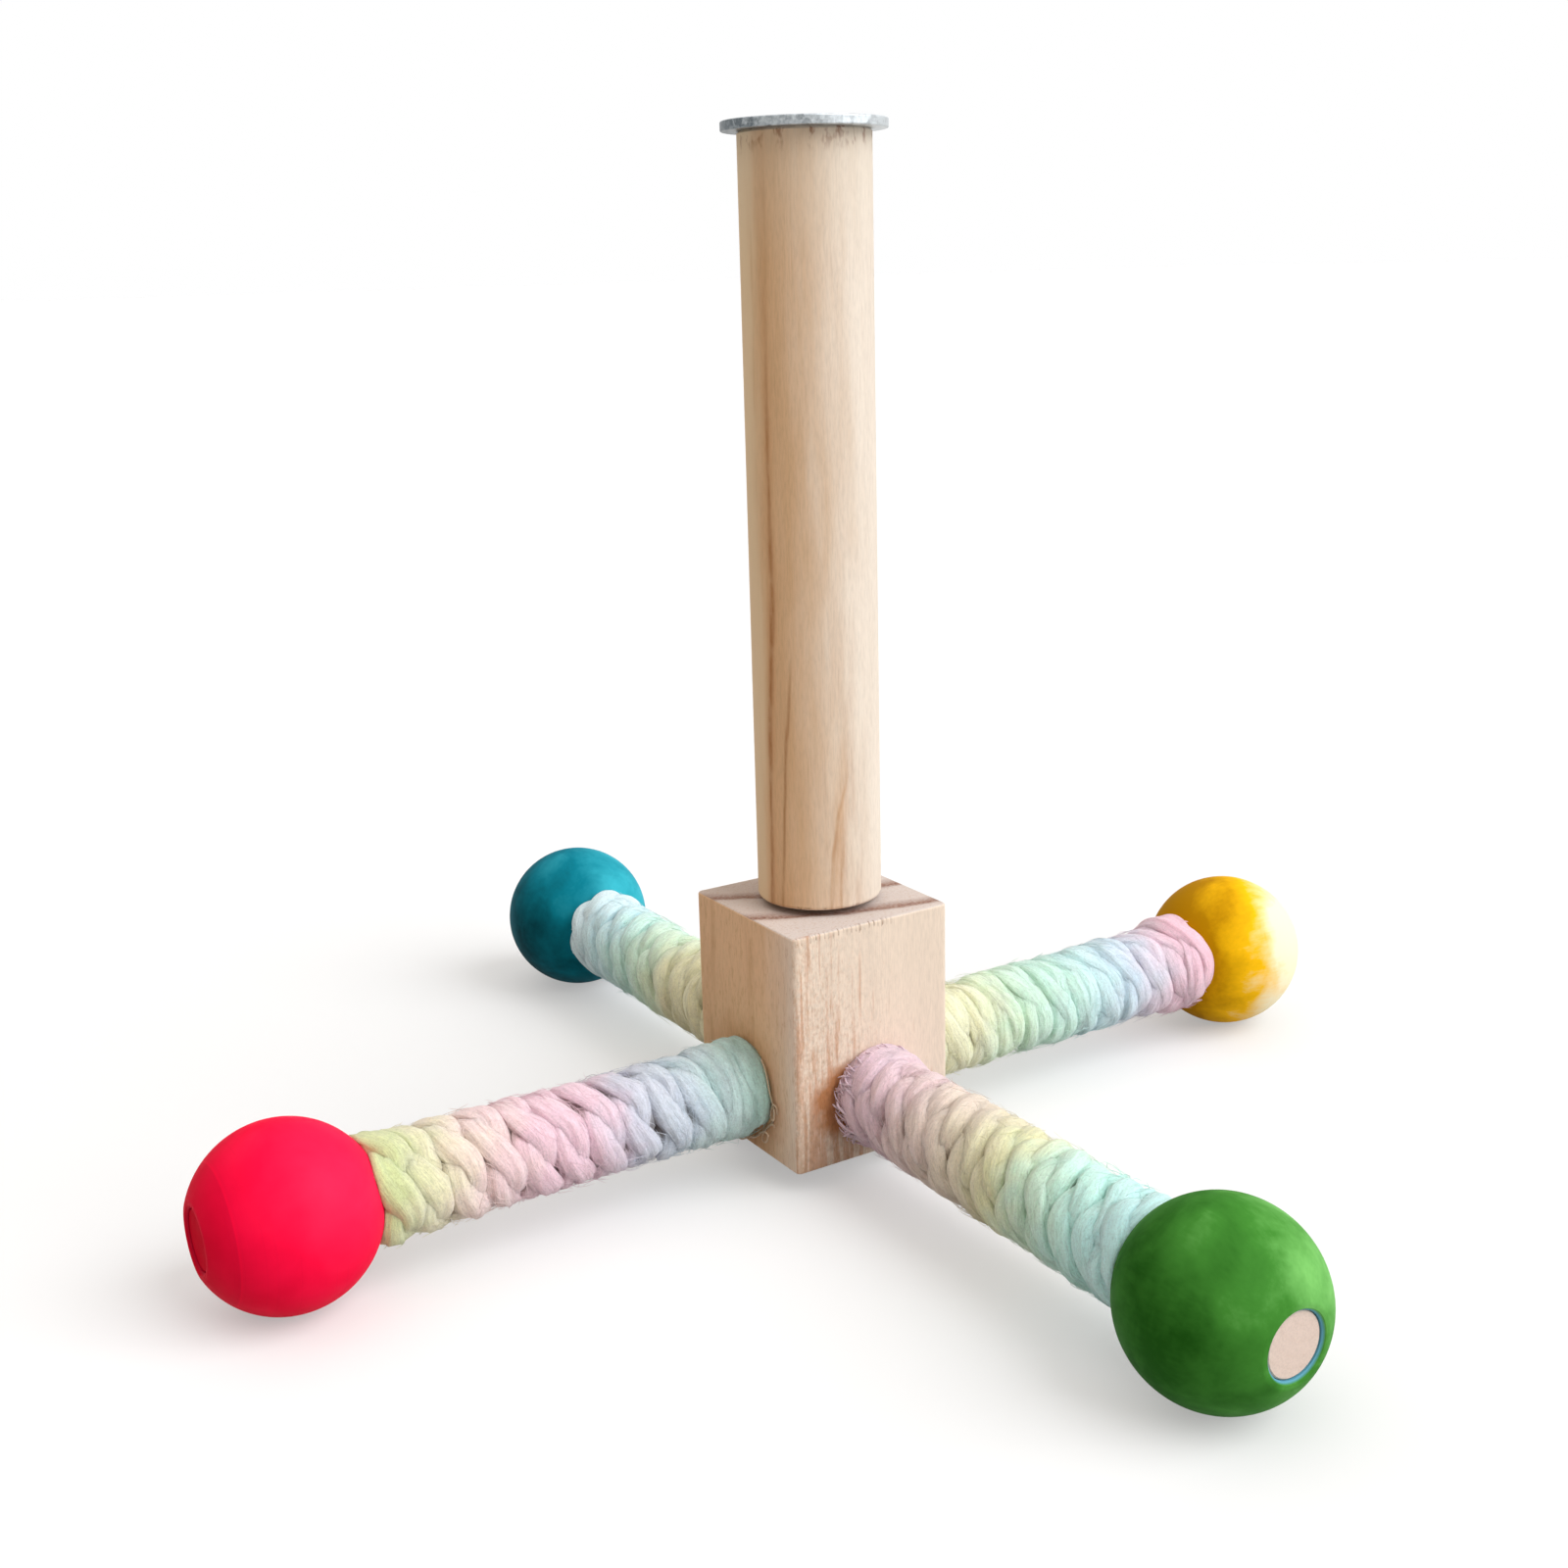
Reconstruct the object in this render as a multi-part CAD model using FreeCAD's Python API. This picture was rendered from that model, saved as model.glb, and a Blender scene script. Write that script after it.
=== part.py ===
"""Swivelling cage perch: a pine post, a pine hub block that turns on a screw under it, and four arms.

Each arm is a dowel glued into the block, wound with soft cotton rope and closed by a stained wooden bead.
Lengths are in millimetres. Z is up along the post, and zero is the floor under the four beads.
"""
import FreeCAD, Part
import math
import os

from FreeCAD import Vector

# Post
POST_DIAMETER = 25.0
POST_LENGTH = 147.0
POST_FOOT_ROUND = 0.8
POST_TOP_CHAMFER = 0.4

# Washer on the post's top end and the threaded insert under it
TOP_WASHER_DIAMETER = 31.0
TOP_WASHER_HOLE = 8.4
TOP_WASHER_THICKNESS = 1.8
TOP_WASHER_EDGE_ROUND = 0.3
INSERT_DIAMETER = 10.0
INSERT_LENGTH = 15.0
INSERT_THREAD_BORE = 5.0
INSERT_DRIVE_FLATS = 6.2
INSERT_DRIVE_DEPTH = 4.0
INSERT_LEAD_CHAMFER = 1.0
BOLT_ROOM = 10.0

# Hub block
BLOCK_SIDE = 37.0
BLOCK_HEIGHT = 49.5
BLOCK_CORNER_ROUND = 1.2
BLOCK_EDGE_ROUND = 0.5

# Arms
ARM_HEIGHT = 13.0
ARM_REACH = 115.0
DOWEL_DIAMETER = 11.5
DOWEL_END_CHAMFER = 0.3
DOWEL_RECESS = 0.6
SOCKET_CORE_WALL = 2.4
SOCKET_END_GAP = 0.2

# Beads
BEAD_DIAMETER = 35.0
BEAD_LENGTH = 32.0
BEAD_RIM_ROUND = 1.2
BEAD_MOUTH_CHAMFER = 0.5

# Rope windings
ROPE_DIAMETER = 5.2
ROPE_TURN_GAP = 0.9
ROPE_END_GAP = 0.25
ROPE_DOWEL_GAP = 0.15
ROPE_LEAST_GAP = 0.4

# Pivot under the post
SCREW_SHANK_DIAMETER = 6.0
SCREW_CORE_DIAMETER = 4.4
SCREW_GRIP = 32.0
SCREW_POINT = 6.0
SCREW_HEAD_DIAMETER = 11.6
SCREW_HEAD_HEIGHT = 3.6
SCREW_HEAD_ROUND = 1.5
SCREW_HEAD_RECESS = 1.2
SCREW_SLOT_LENGTH = 6.0
SCREW_SLOT_WIDTH = 1.4
SCREW_SLOT_DEPTH = 2.0
HEAD_WASHER_DIAMETER = 15.0
HEAD_WASHER_THICKNESS = 1.2
SPACER_DIAMETER = 16.0
SPACER_THICKNESS = 1.1

# Clearances
GLUE_GAP = 0.1
PIVOT_RUNNING_GAP = 0.1
PIVOT_END_PLAY = 0.15
WASHER_HOLE_GAP = 0.2
COUNTERBORE_GAP = 0.5

# How far a cutting tool runs past the face that it cuts
CUT_OVERRUN = 1.0

# Winding counts
BIARCS_PER_TURN = 4
GAP_SAMPLES_PER_ARC = 4

# Heights worked out from the sizes above
ARM_AXIS_Z = BEAD_DIAMETER / 2
BLOCK_BOTTOM_Z = ARM_AXIS_Z - ARM_HEIGHT
BLOCK_TOP_Z = BLOCK_BOTTOM_Z + BLOCK_HEIGHT
POST_FOOT_Z = BLOCK_TOP_Z + PIVOT_END_PLAY + SPACER_THICKNESS
POST_TOP_Z = POST_FOOT_Z + POST_LENGTH
HEAD_BOTTOM_Z = BLOCK_BOTTOM_Z + SCREW_HEAD_RECESS
HEAD_TOP_Z = HEAD_BOTTOM_Z + SCREW_HEAD_HEIGHT
COUNTERBORE_TOP_Z = HEAD_TOP_Z + HEAD_WASHER_THICKNESS + PIVOT_END_PLAY

# Reaches along an arm, measured from the post's axis
BLOCK_FACE = BLOCK_SIDE / 2
SOCKET_RADIUS = DOWEL_DIAMETER / 2 + GLUE_GAP
SOCKET_FLOOR = SOCKET_RADIUS + SOCKET_CORE_WALL
BEAD_INNER_FACE = ARM_REACH - BEAD_LENGTH / 2
BEAD_OUTER_FACE = ARM_REACH + BEAD_LENGTH / 2

# Arms by name, as degrees about Z from the arm that points along +X
ARM_TURNS = {"right": 0, "back": 90, "left": 180, "front": 270}
FULL_TURN = 360
HEX_SIDES = 6

# How closely a size has to match to pick out an edge
MATCH_SHARE = 1e-6

UP = Vector(0, 0, 1)
OUTWARD = Vector(1, 0, 0)


def upright_cylinder(diameter, bottom, top):
    """A cylinder on the post's axis between two heights."""
    return Part.makeCylinder(diameter / 2, top - bottom, Vector(0, 0, bottom), UP)


def arm_cylinder(diameter, inner, outer):
    """A cylinder on the axis of the arm that points along +X, between two reaches."""
    return Part.makeCylinder(diameter / 2, outer - inner, Vector(inner, 0, ARM_AXIS_Z), OUTWARD)


def flat_washer(diameter, hole, bottom, thickness):
    """A plain washer on the post's axis."""
    disc = upright_cylinder(diameter, bottom, bottom + thickness)
    return disc.cut(upright_cylinder(hole, bottom - CUT_OVERRUN, bottom + thickness + CUT_OVERRUN))


def rims(shape, diameter, height):
    """The round edges on the post's axis with this diameter at this height."""
    return [
        edge for edge in shape.Edges
        if isinstance(edge.Curve, Part.Circle)
        and math.isclose(2 * edge.Curve.Radius, diameter, rel_tol=MATCH_SHARE)
        and math.isclose(edge.CenterOfMass.z, height, rel_tol=MATCH_SHARE)
    ]


def make_post():
    """The dowel post, drilled at the top for the insert and at the foot for the pivot screw."""
    post = upright_cylinder(POST_DIAMETER, POST_FOOT_Z, POST_TOP_Z)
    post = post.makeFillet(POST_FOOT_ROUND, rims(post, POST_DIAMETER, POST_FOOT_Z))
    post = post.makeChamfer(POST_TOP_CHAMFER, rims(post, POST_DIAMETER, POST_TOP_Z))
    seat_floor = POST_TOP_Z - INSERT_LENGTH - BOLT_ROOM
    post = post.cut(upright_cylinder(INSERT_DIAMETER + 2 * GLUE_GAP, seat_floor, POST_TOP_Z + CUT_OVERRUN))
    pilot = SCREW_CORE_DIAMETER + 2 * GLUE_GAP
    return post.cut(upright_cylinder(pilot, POST_FOOT_Z - CUT_OVERRUN, POST_FOOT_Z + SCREW_GRIP + GLUE_GAP))


def make_top_washer():
    """The wide steel washer that the cage bars are clamped against."""
    washer = flat_washer(TOP_WASHER_DIAMETER, TOP_WASHER_HOLE, POST_TOP_Z, TOP_WASHER_THICKNESS)
    outer_rims = rims(washer, TOP_WASHER_DIAMETER, POST_TOP_Z)
    outer_rims += rims(washer, TOP_WASHER_DIAMETER, POST_TOP_Z + TOP_WASHER_THICKNESS)
    return washer.makeFillet(TOP_WASHER_EDGE_ROUND, outer_rims)


def make_top_insert():
    """The threaded insert in the post's end, with its hexagon drive above the threaded bore."""
    bottom = POST_TOP_Z - INSERT_LENGTH
    insert = upright_cylinder(INSERT_DIAMETER, bottom, POST_TOP_Z)
    insert = insert.makeChamfer(INSERT_LEAD_CHAMFER, rims(insert, INSERT_DIAMETER, bottom))
    insert = insert.cut(upright_cylinder(INSERT_THREAD_BORE, bottom - CUT_OVERRUN, POST_TOP_Z + CUT_OVERRUN))
    corner = INSERT_DRIVE_FLATS / 2 / math.cos(math.pi / HEX_SIDES)
    drive_floor = POST_TOP_Z - INSERT_DRIVE_DEPTH
    corners = []
    for side in range(HEX_SIDES + 1):
        angle = 2 * math.pi * side / HEX_SIDES
        corners.append(Vector(corner * math.cos(angle), corner * math.sin(angle), drive_floor))
    drive = Part.Face(Part.makePolygon(corners)).extrude(UP * (INSERT_DRIVE_DEPTH + CUT_OVERRUN))
    return insert.cut(drive)


def make_pivot_screw():
    """The pan-head screw that the hub turns on: smooth shank in the block, threaded core in the post."""
    head = upright_cylinder(SCREW_HEAD_DIAMETER, HEAD_BOTTOM_Z, HEAD_TOP_Z)
    head = head.makeFillet(SCREW_HEAD_ROUND, rims(head, SCREW_HEAD_DIAMETER, HEAD_BOTTOM_Z))
    shank = upright_cylinder(SCREW_SHANK_DIAMETER, HEAD_TOP_Z, POST_FOOT_Z)
    point_base = POST_FOOT_Z + SCREW_GRIP - SCREW_POINT
    core = upright_cylinder(SCREW_CORE_DIAMETER, POST_FOOT_Z, point_base)
    point = Part.makeCone(SCREW_CORE_DIAMETER / 2, 0, SCREW_POINT, Vector(0, 0, point_base), UP)
    screw = head.fuse([shank, core, point]).removeSplitter()
    slot_bottom = HEAD_BOTTOM_Z - CUT_OVERRUN
    slot_height = SCREW_SLOT_DEPTH + CUT_OVERRUN
    for length, width in ((SCREW_SLOT_LENGTH, SCREW_SLOT_WIDTH), (SCREW_SLOT_WIDTH, SCREW_SLOT_LENGTH)):
        corner = Vector(-length / 2, -width / 2, slot_bottom)
        screw = screw.cut(Part.makeBox(length, width, slot_height, corner))
    return screw


def make_head_washer():
    """The washer between the screw's head and the roof of the counterbore."""
    hole = SCREW_SHANK_DIAMETER + 2 * WASHER_HOLE_GAP
    return flat_washer(HEAD_WASHER_DIAMETER, hole, HEAD_TOP_Z, HEAD_WASHER_THICKNESS)


def make_pivot_spacer():
    """The thin washer that keeps the post's foot clear of the block, so that the hub turns freely."""
    hole = SCREW_SHANK_DIAMETER + 2 * WASHER_HOLE_GAP
    return flat_washer(SPACER_DIAMETER, hole, POST_FOOT_Z - SPACER_THICKNESS, SPACER_THICKNESS)


def make_hub_block():
    """The square block with four dowel sockets, the pivot bore and a counterbore for the screw's head."""
    corner = Vector(-BLOCK_FACE, -BLOCK_FACE, BLOCK_BOTTOM_Z)
    block = Part.makeBox(BLOCK_SIDE, BLOCK_SIDE, BLOCK_HEIGHT, corner)
    upright_edges = [edge for edge in block.Edges if abs(edge.tangentAt(edge.FirstParameter).dot(UP)) > 0]
    block = block.makeFillet(BLOCK_CORNER_ROUND, upright_edges)
    middle = BLOCK_BOTTOM_Z + BLOCK_HEIGHT / 2
    half = BLOCK_HEIGHT / 2
    level_edges = [
        edge for edge in block.Edges if math.isclose(abs(edge.CenterOfMass.z - middle), half, rel_tol=MATCH_SHARE)
    ]
    block = block.makeFillet(BLOCK_EDGE_ROUND, level_edges)
    bore = SCREW_SHANK_DIAMETER + 2 * PIVOT_RUNNING_GAP
    block = block.cut(upright_cylinder(bore, BLOCK_BOTTOM_Z - CUT_OVERRUN, BLOCK_TOP_Z + CUT_OVERRUN))
    counterbore = HEAD_WASHER_DIAMETER + 2 * COUNTERBORE_GAP
    block = block.cut(upright_cylinder(counterbore, BLOCK_BOTTOM_Z - CUT_OVERRUN, COUNTERBORE_TOP_Z))
    socket = arm_cylinder(2 * SOCKET_RADIUS, SOCKET_FLOOR, BLOCK_FACE + CUT_OVERRUN)
    for degrees in ARM_TURNS.values():
        block = block.cut(turned(socket, degrees))
    return block


def make_arm_dowel():
    """One arm's dowel, from its socket to just inside the bead's outer face."""
    dowel = arm_cylinder(DOWEL_DIAMETER, SOCKET_FLOOR + SOCKET_END_GAP, BEAD_OUTER_FACE - DOWEL_RECESS)
    ends = [edge for edge in dowel.Edges if isinstance(edge.Curve, Part.Circle)]
    return dowel.makeChamfer(DOWEL_END_CHAMFER, ends)


def make_end_bead():
    """One bead: a ball with flats across its bore, eased rims and chamfered mouths."""
    ball = Part.makeSphere(BEAD_DIAMETER / 2, Vector(ARM_REACH, 0, ARM_AXIS_Z), OUTWARD)
    bead = ball.common(arm_cylinder(BEAD_DIAMETER + CUT_OVERRUN, BEAD_INNER_FACE, BEAD_OUTER_FACE))
    flat_rims = [
        edge for edge in bead.Edges
        if isinstance(edge.Curve, Part.Circle) and abs(edge.Curve.Axis.dot(OUTWARD)) > math.cos(math.pi / 4)
    ]
    bead = bead.makeFillet(BEAD_RIM_ROUND, flat_rims)
    bore = arm_cylinder(2 * SOCKET_RADIUS, BEAD_INNER_FACE - CUT_OVERRUN, BEAD_OUTER_FACE + CUT_OVERRUN)
    bead = bead.cut(bore)
    mouths = [
        edge for edge in bead.Edges
        if isinstance(edge.Curve, Part.Circle) and math.isclose(edge.Curve.Radius, SOCKET_RADIUS, rel_tol=MATCH_SHARE)
    ]
    return bead.makeChamfer(BEAD_MOUTH_CHAMFER, mouths)


def winding_sizes():
    """The winding's radius, turns, pitch and first reach, so that it fills the arm between block and bead."""
    radius = DOWEL_DIAMETER / 2 + ROPE_DOWEL_GAP + ROPE_DIAMETER / 2
    start = BLOCK_FACE + ROPE_END_GAP + ROPE_DIAMETER / 2
    span = BEAD_INNER_FACE - ROPE_END_GAP - ROPE_DIAMETER / 2 - start
    turns = int(span / (ROPE_DIAMETER + ROPE_TURN_GAP))
    tail_turns = ROPE_DIAMETER / (2 * math.pi * radius)
    pitch = span / (turns + 2 * tail_turns)
    return radius, turns, pitch, start + pitch * tail_turns


def winding_place(angle):
    """The point of the winding's centre line at this angle from its lowest start."""
    radius, _, pitch, first = winding_sizes()
    reach = first + pitch * angle / (2 * math.pi)
    return Vector(reach, radius * math.sin(angle), ARM_AXIS_Z - radius * math.cos(angle))


def winding_heading(angle):
    """The unit direction of the winding's centre line at this angle."""
    radius, _, pitch, _ = winding_sizes()
    return Vector(pitch / (2 * math.pi), radius * math.cos(angle), radius * math.sin(angle)).normalize()


def tangent_arc(start, corner, end):
    """The arc that touches the lines from start to corner and from corner to end."""
    turn = (corner - start).getAngle(end - corner)
    weight = math.cos(turn / 2)
    middle = (start + corner * (2 * weight) + end) / (2 + 2 * weight)
    return Part.Arc(start, middle, end)


def winding_biarc(first_angle, last_angle):
    """Two arcs that meet smoothly and follow the winding between two angles."""
    start = winding_place(first_angle)
    end = winding_place(last_angle)
    leaving = winding_heading(first_angle)
    arriving = winding_heading(last_angle)
    chord = end - start
    along = chord.dot(leaving + arriving)
    bend = 2 * (1 - leaving.dot(arriving))
    arm = (math.sqrt(along ** 2 + bend * chord.dot(chord)) - along) / bend
    first_corner = start + leaving * arm
    last_corner = end - arriving * arm
    joint = (first_corner + last_corner) / 2
    return [tangent_arc(start, first_corner, joint), tangent_arc(joint, last_corner, end)]


def winding_curves():
    """The rope's centre line: a straight tail, the turns as biarcs and another straight tail."""
    _, turns, _, _ = winding_sizes()
    step = 2 * math.pi / BIARCS_PER_TURN
    last = turns * BIARCS_PER_TURN
    tail_start = winding_place(0) - winding_heading(0) * ROPE_DIAMETER
    tail_end = winding_place(last * step) + winding_heading(last * step) * ROPE_DIAMETER
    curves = [Part.LineSegment(tail_start, winding_place(0))]
    for index in range(last):
        curves += winding_biarc(index * step, (index + 1) * step)
    curves.append(Part.LineSegment(winding_place(last * step), tail_end))
    return curves


def least_winding_gap(curves):
    """The least gap between turns, from points on the centre line at least half a turn apart."""
    points = []
    for curve in curves:
        span = curve.LastParameter - curve.FirstParameter
        for sample in range(GAP_SAMPLES_PER_ARC):
            points.append(curve.value(curve.FirstParameter + span * sample / GAP_SAMPLES_PER_ARC))
    half_turn = BIARCS_PER_TURN * GAP_SAMPLES_PER_ARC
    distances = [
        points[one].distanceToPoint(points[other])
        for one in range(len(points))
        for other in range(one + half_turn, len(points))
    ]
    return min(distances) - ROPE_DIAMETER


def make_rope_wrap():
    """One arm's rope as one unbroken tube wound from the block to the bead."""
    curves = winding_curves()
    path = Part.Wire([curve.toShape() for curve in curves])
    start = curves[0].StartPoint
    section = Part.Wire(Part.Circle(start, winding_heading(0), ROPE_DIAMETER / 2).toShape())
    sweep = Part.BRepOffsetAPI.MakePipeShell(path)
    sweep.add(section)
    sweep.build()
    sweep.makeSolid()
    rope = sweep.shape()
    gap = least_winding_gap(curves)
    bends = [edge.Curve.Radius for edge in path.Edges if isinstance(edge.Curve, Part.Circle)]
    expected = path.Length * math.pi * ROPE_DIAMETER ** 2 / 4
    _, turns, pitch, _ = winding_sizes()
    print("rope length per arm", round(path.Length, 1), "turns", turns, "pitch", round(pitch, 3))
    print("rope least gap to itself", round(gap, 3), "tightest bend", round(min(bends), 2))
    print("rope volume", round(rope.Volume, 1), "section times length", round(expected, 1))
    if gap <= ROPE_LEAST_GAP:
        raise ValueError("the rope's turns lie too close together")
    return rope


def turned(shape, degrees):
    """A copy of an arm piece, turned about the post's axis."""
    copy = shape.copy()
    copy.rotate(Vector(0, 0, 0), UP, degrees % FULL_TURN)
    return copy


def save(name, shape):
    """Write one piece, after checking that it is one sound solid."""
    if not shape.isValid() or len(shape.Solids) != 1:
        raise ValueError(f"{name} isn't one valid solid")
    shape.Solids[0].exportStep(f"parts/{name}.step")


def main():
    os.makedirs("parts", exist_ok=True)
    save("post", make_post())
    save("top_washer", make_top_washer())
    save("top_insert", make_top_insert())
    save("pivot_screw", make_pivot_screw())
    save("pivot_head_washer", make_head_washer())
    save("pivot_spacer", make_pivot_spacer())
    save("hub_block", make_hub_block())
    arm_pieces = {"arm_dowel": make_arm_dowel(), "rope_wrap": make_rope_wrap(), "end_bead": make_end_bead()}
    for arm, degrees in ARM_TURNS.items():
        for piece, shape in arm_pieces.items():
            save(f"{piece}_{arm}", turned(shape, degrees))


main()
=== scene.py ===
"""Looks of the bird perch.

A camera set to the photograph, a pale floor, soft studio light, a procedural material for every CAD node, and
two-ply rope windings in place of the CAD ones. Sizes are in millimetres where nothing else is said.
"""

import math

import bpy
import numpy as np
from mathutils import Matrix, Vector


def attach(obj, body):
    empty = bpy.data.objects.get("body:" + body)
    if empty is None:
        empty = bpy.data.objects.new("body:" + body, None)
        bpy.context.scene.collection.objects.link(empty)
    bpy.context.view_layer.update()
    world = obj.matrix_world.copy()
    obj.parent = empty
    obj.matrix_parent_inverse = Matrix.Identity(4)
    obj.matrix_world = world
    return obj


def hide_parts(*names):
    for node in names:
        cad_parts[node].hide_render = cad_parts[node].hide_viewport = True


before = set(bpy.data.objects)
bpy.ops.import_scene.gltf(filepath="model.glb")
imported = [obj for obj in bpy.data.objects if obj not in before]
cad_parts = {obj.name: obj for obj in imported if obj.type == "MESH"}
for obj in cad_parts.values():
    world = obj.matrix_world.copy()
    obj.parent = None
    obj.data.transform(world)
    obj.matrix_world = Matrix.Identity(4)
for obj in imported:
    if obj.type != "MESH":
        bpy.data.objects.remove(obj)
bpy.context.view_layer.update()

MM = 0.001
PER_METRE = 1000.0
TURN = 2 * math.pi
UP = (0.0, 0.0, 1.0)

# Sizes of the part that the looks depend on
ARM_HEIGHT = 17.5
BLOCK_FACE = 18.5
BLOCK_TOP = 54.0
BEAD_CENTRE = 115.0
BEAD_RADIUS = 17.5
BEAD_FLAT = 16.0
DOWEL_RADIUS = 5.75
POST_RADIUS = 12.5
POST_FOOT = 55.25
POST_TOP = 202.25
ROPE_START = 21.0
ROPE_END = 97.6
ROPE_PITCH = 6.134
ROPE_TURNS = 12

# Each arm: its direction, and the seed of its rope
ARMS = {
    "right": {"way": (1, 0, 0), "seed": 21},
    "back": {"way": (0, 1, 0), "seed": 34},
    "left": {"way": (-1, 0, 0), "seed": 55},
    "front": {"way": (0, -1, 0), "seed": 89},
}


def rgb(code):
    """Scene-linear colour of a hex code."""
    values = [int(code[i : i + 2], 16) / 255 for i in (1, 3, 5)]
    return [v / 12.92 if v < 0.04045 else ((v + 0.055) / 1.055) ** 2.4 for v in values] + [1.0]


def fill(node, values):
    """Sets a node's inputs by name."""
    for key, value in values.items():
        node.inputs[key].default_value = value
    return node


class Look:
    """A material and short ways to add its nodes."""

    def __init__(self, name, roughness, metallic=0.0, specular=0.5):
        self.material = bpy.data.materials.new(name)
        self.material.use_nodes = True
        self.tree = self.material.node_tree
        self.shader = self.tree.nodes["Principled BSDF"]
        fill(self.shader, {"Roughness": roughness, "Metallic": metallic, "Specular IOR Level": specular})
        coordinates = self.node("ShaderNodeTexCoord")
        self.normal = coordinates.outputs["Normal"]
        # The place on the part, in millimetres
        self.place = self.scaled(coordinates.outputs["Object"], PER_METRE)

    def node(self, kind, **settings):
        made = self.tree.nodes.new(kind)
        for key, value in settings.items():
            setattr(made, key, value)
        return made

    def put(self, socket, value):
        """Links an output to an input, or sets the input to a number, vector or colour."""
        if isinstance(value, bpy.types.NodeSocket):
            self.tree.links.new(value, socket)
        else:
            socket.default_value = value

    def math(self, operation, *values, clamp=False):
        made = self.node("ShaderNodeMath", operation=operation, use_clamp=clamp)
        for socket, value in zip(made.inputs, values):
            self.put(socket, value)
        return made.outputs[0]

    def product(self, first, *others):
        for other in others:
            first = self.math("MULTIPLY", first, other)
        return first

    def about_zero(self, noise, size):
        """A noise about 0.5 made into one about 0, times a size."""
        return self.math("MULTIPLY", self.math("SUBTRACT", noise, 0.5), size)

    def vector(self, operation, *values):
        made = self.node("ShaderNodeVectorMath", operation=operation)
        for socket, value in zip(made.inputs, values):
            self.put(socket, value)
        return made.outputs["Value" if operation in ("DOT_PRODUCT", "LENGTH") else "Vector"]

    def scaled(self, vector, factor):
        made = self.node("ShaderNodeVectorMath", operation="SCALE")
        self.put(made.inputs[0], vector)
        self.put(made.inputs["Scale"], factor)
        return made.outputs["Vector"]

    def upright(self, share):
        """Places for marks that run up the part: heights count only by the share given."""
        return self.vector("MULTIPLY", self.place, (1.0, 1.0, share))

    def coordinates(self):
        """The three coordinates of the place."""
        made = self.node("ShaderNodeSeparateXYZ")
        self.put(made.inputs[0], self.place)
        return made.outputs

    def noise(self, place, scale=1.0, detail=2.0, roughness=0.5, distortion=0.0):
        made = self.node("ShaderNodeTexNoise")
        self.put(made.inputs["Vector"], place)
        fill(made, {"Scale": scale, "Detail": detail, "Roughness": roughness, "Distortion": distortion})
        return made.outputs["Fac"]

    def ramp(self, factor, *stops, ease=False):
        """A colour ramp; each stop is a place with a hex code or a grey value."""
        made = self.node("ShaderNodeValToRGB")
        made.color_ramp.interpolation = "EASE" if ease else "LINEAR"
        marks = made.color_ramp.elements
        while len(marks) < len(stops):
            marks.new(1.0)
        for mark, (where, colour) in zip(marks, stops):
            mark.position = where
            mark.color = rgb(colour) if isinstance(colour, str) else [colour] * 3 + [1.0]
        self.put(made.inputs["Fac"], factor)
        return made.outputs["Color"]

    def mix(self, factor, first, second, blend="MIX"):
        made = self.node("ShaderNodeMix", data_type="RGBA", blend_type=blend)
        for index, value in ((0, factor), (6, first), (7, second)):
            self.put(made.inputs[index], rgb(value) if isinstance(value, str) else value)
        return made.outputs[2]

    def shaded(self, tone, value, *stops):
        """A tone times a grey ramp of a value."""
        return self.mix(1.0, tone, self.ramp(value, *stops), "MULTIPLY")

    def bump(self, height, strength, depth):
        """Surface relief from a height of 0 to 1; depth is in millimetres."""
        made = fill(self.node("ShaderNodeBump"), {"Strength": strength, "Distance": depth * MM})
        self.put(made.inputs["Height"], height)
        self.put(self.shader.inputs["Normal"], made.outputs["Normal"])

    def finish(self, colour, roughness=None):
        self.put(self.shader.inputs["Base Color"], colour)
        if roughness is not None:
            self.put(self.shader.inputs["Roughness"], roughness)
        return self.material


# Wood

# Late wood through one ring, from its inner to its outer side, as it shows along and across the grain
LATE_LINE = ((0.0, 0.0), (0.62, 0.05), (0.80, 0.34), (0.90, 1.0), (0.94, 0.75), (0.99, 0.0))
LATE_BAND = ((0.0, 0.12), (0.10, 0.0), (0.64, 0.05), (0.80, 0.6), (0.90, 1.0), (0.95, 0.7), (1.0, 0.12))
LATE_LINE_COLOUR = "#a8744a"
LATE_BAND_COLOUR = "#7f5444"
FLECK_COLOUR = "#9c6b42"
FLECK_SHIFT = (31.0, 7.0, 0.0)
RINGS_PER_WAVE = 2.7


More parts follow.
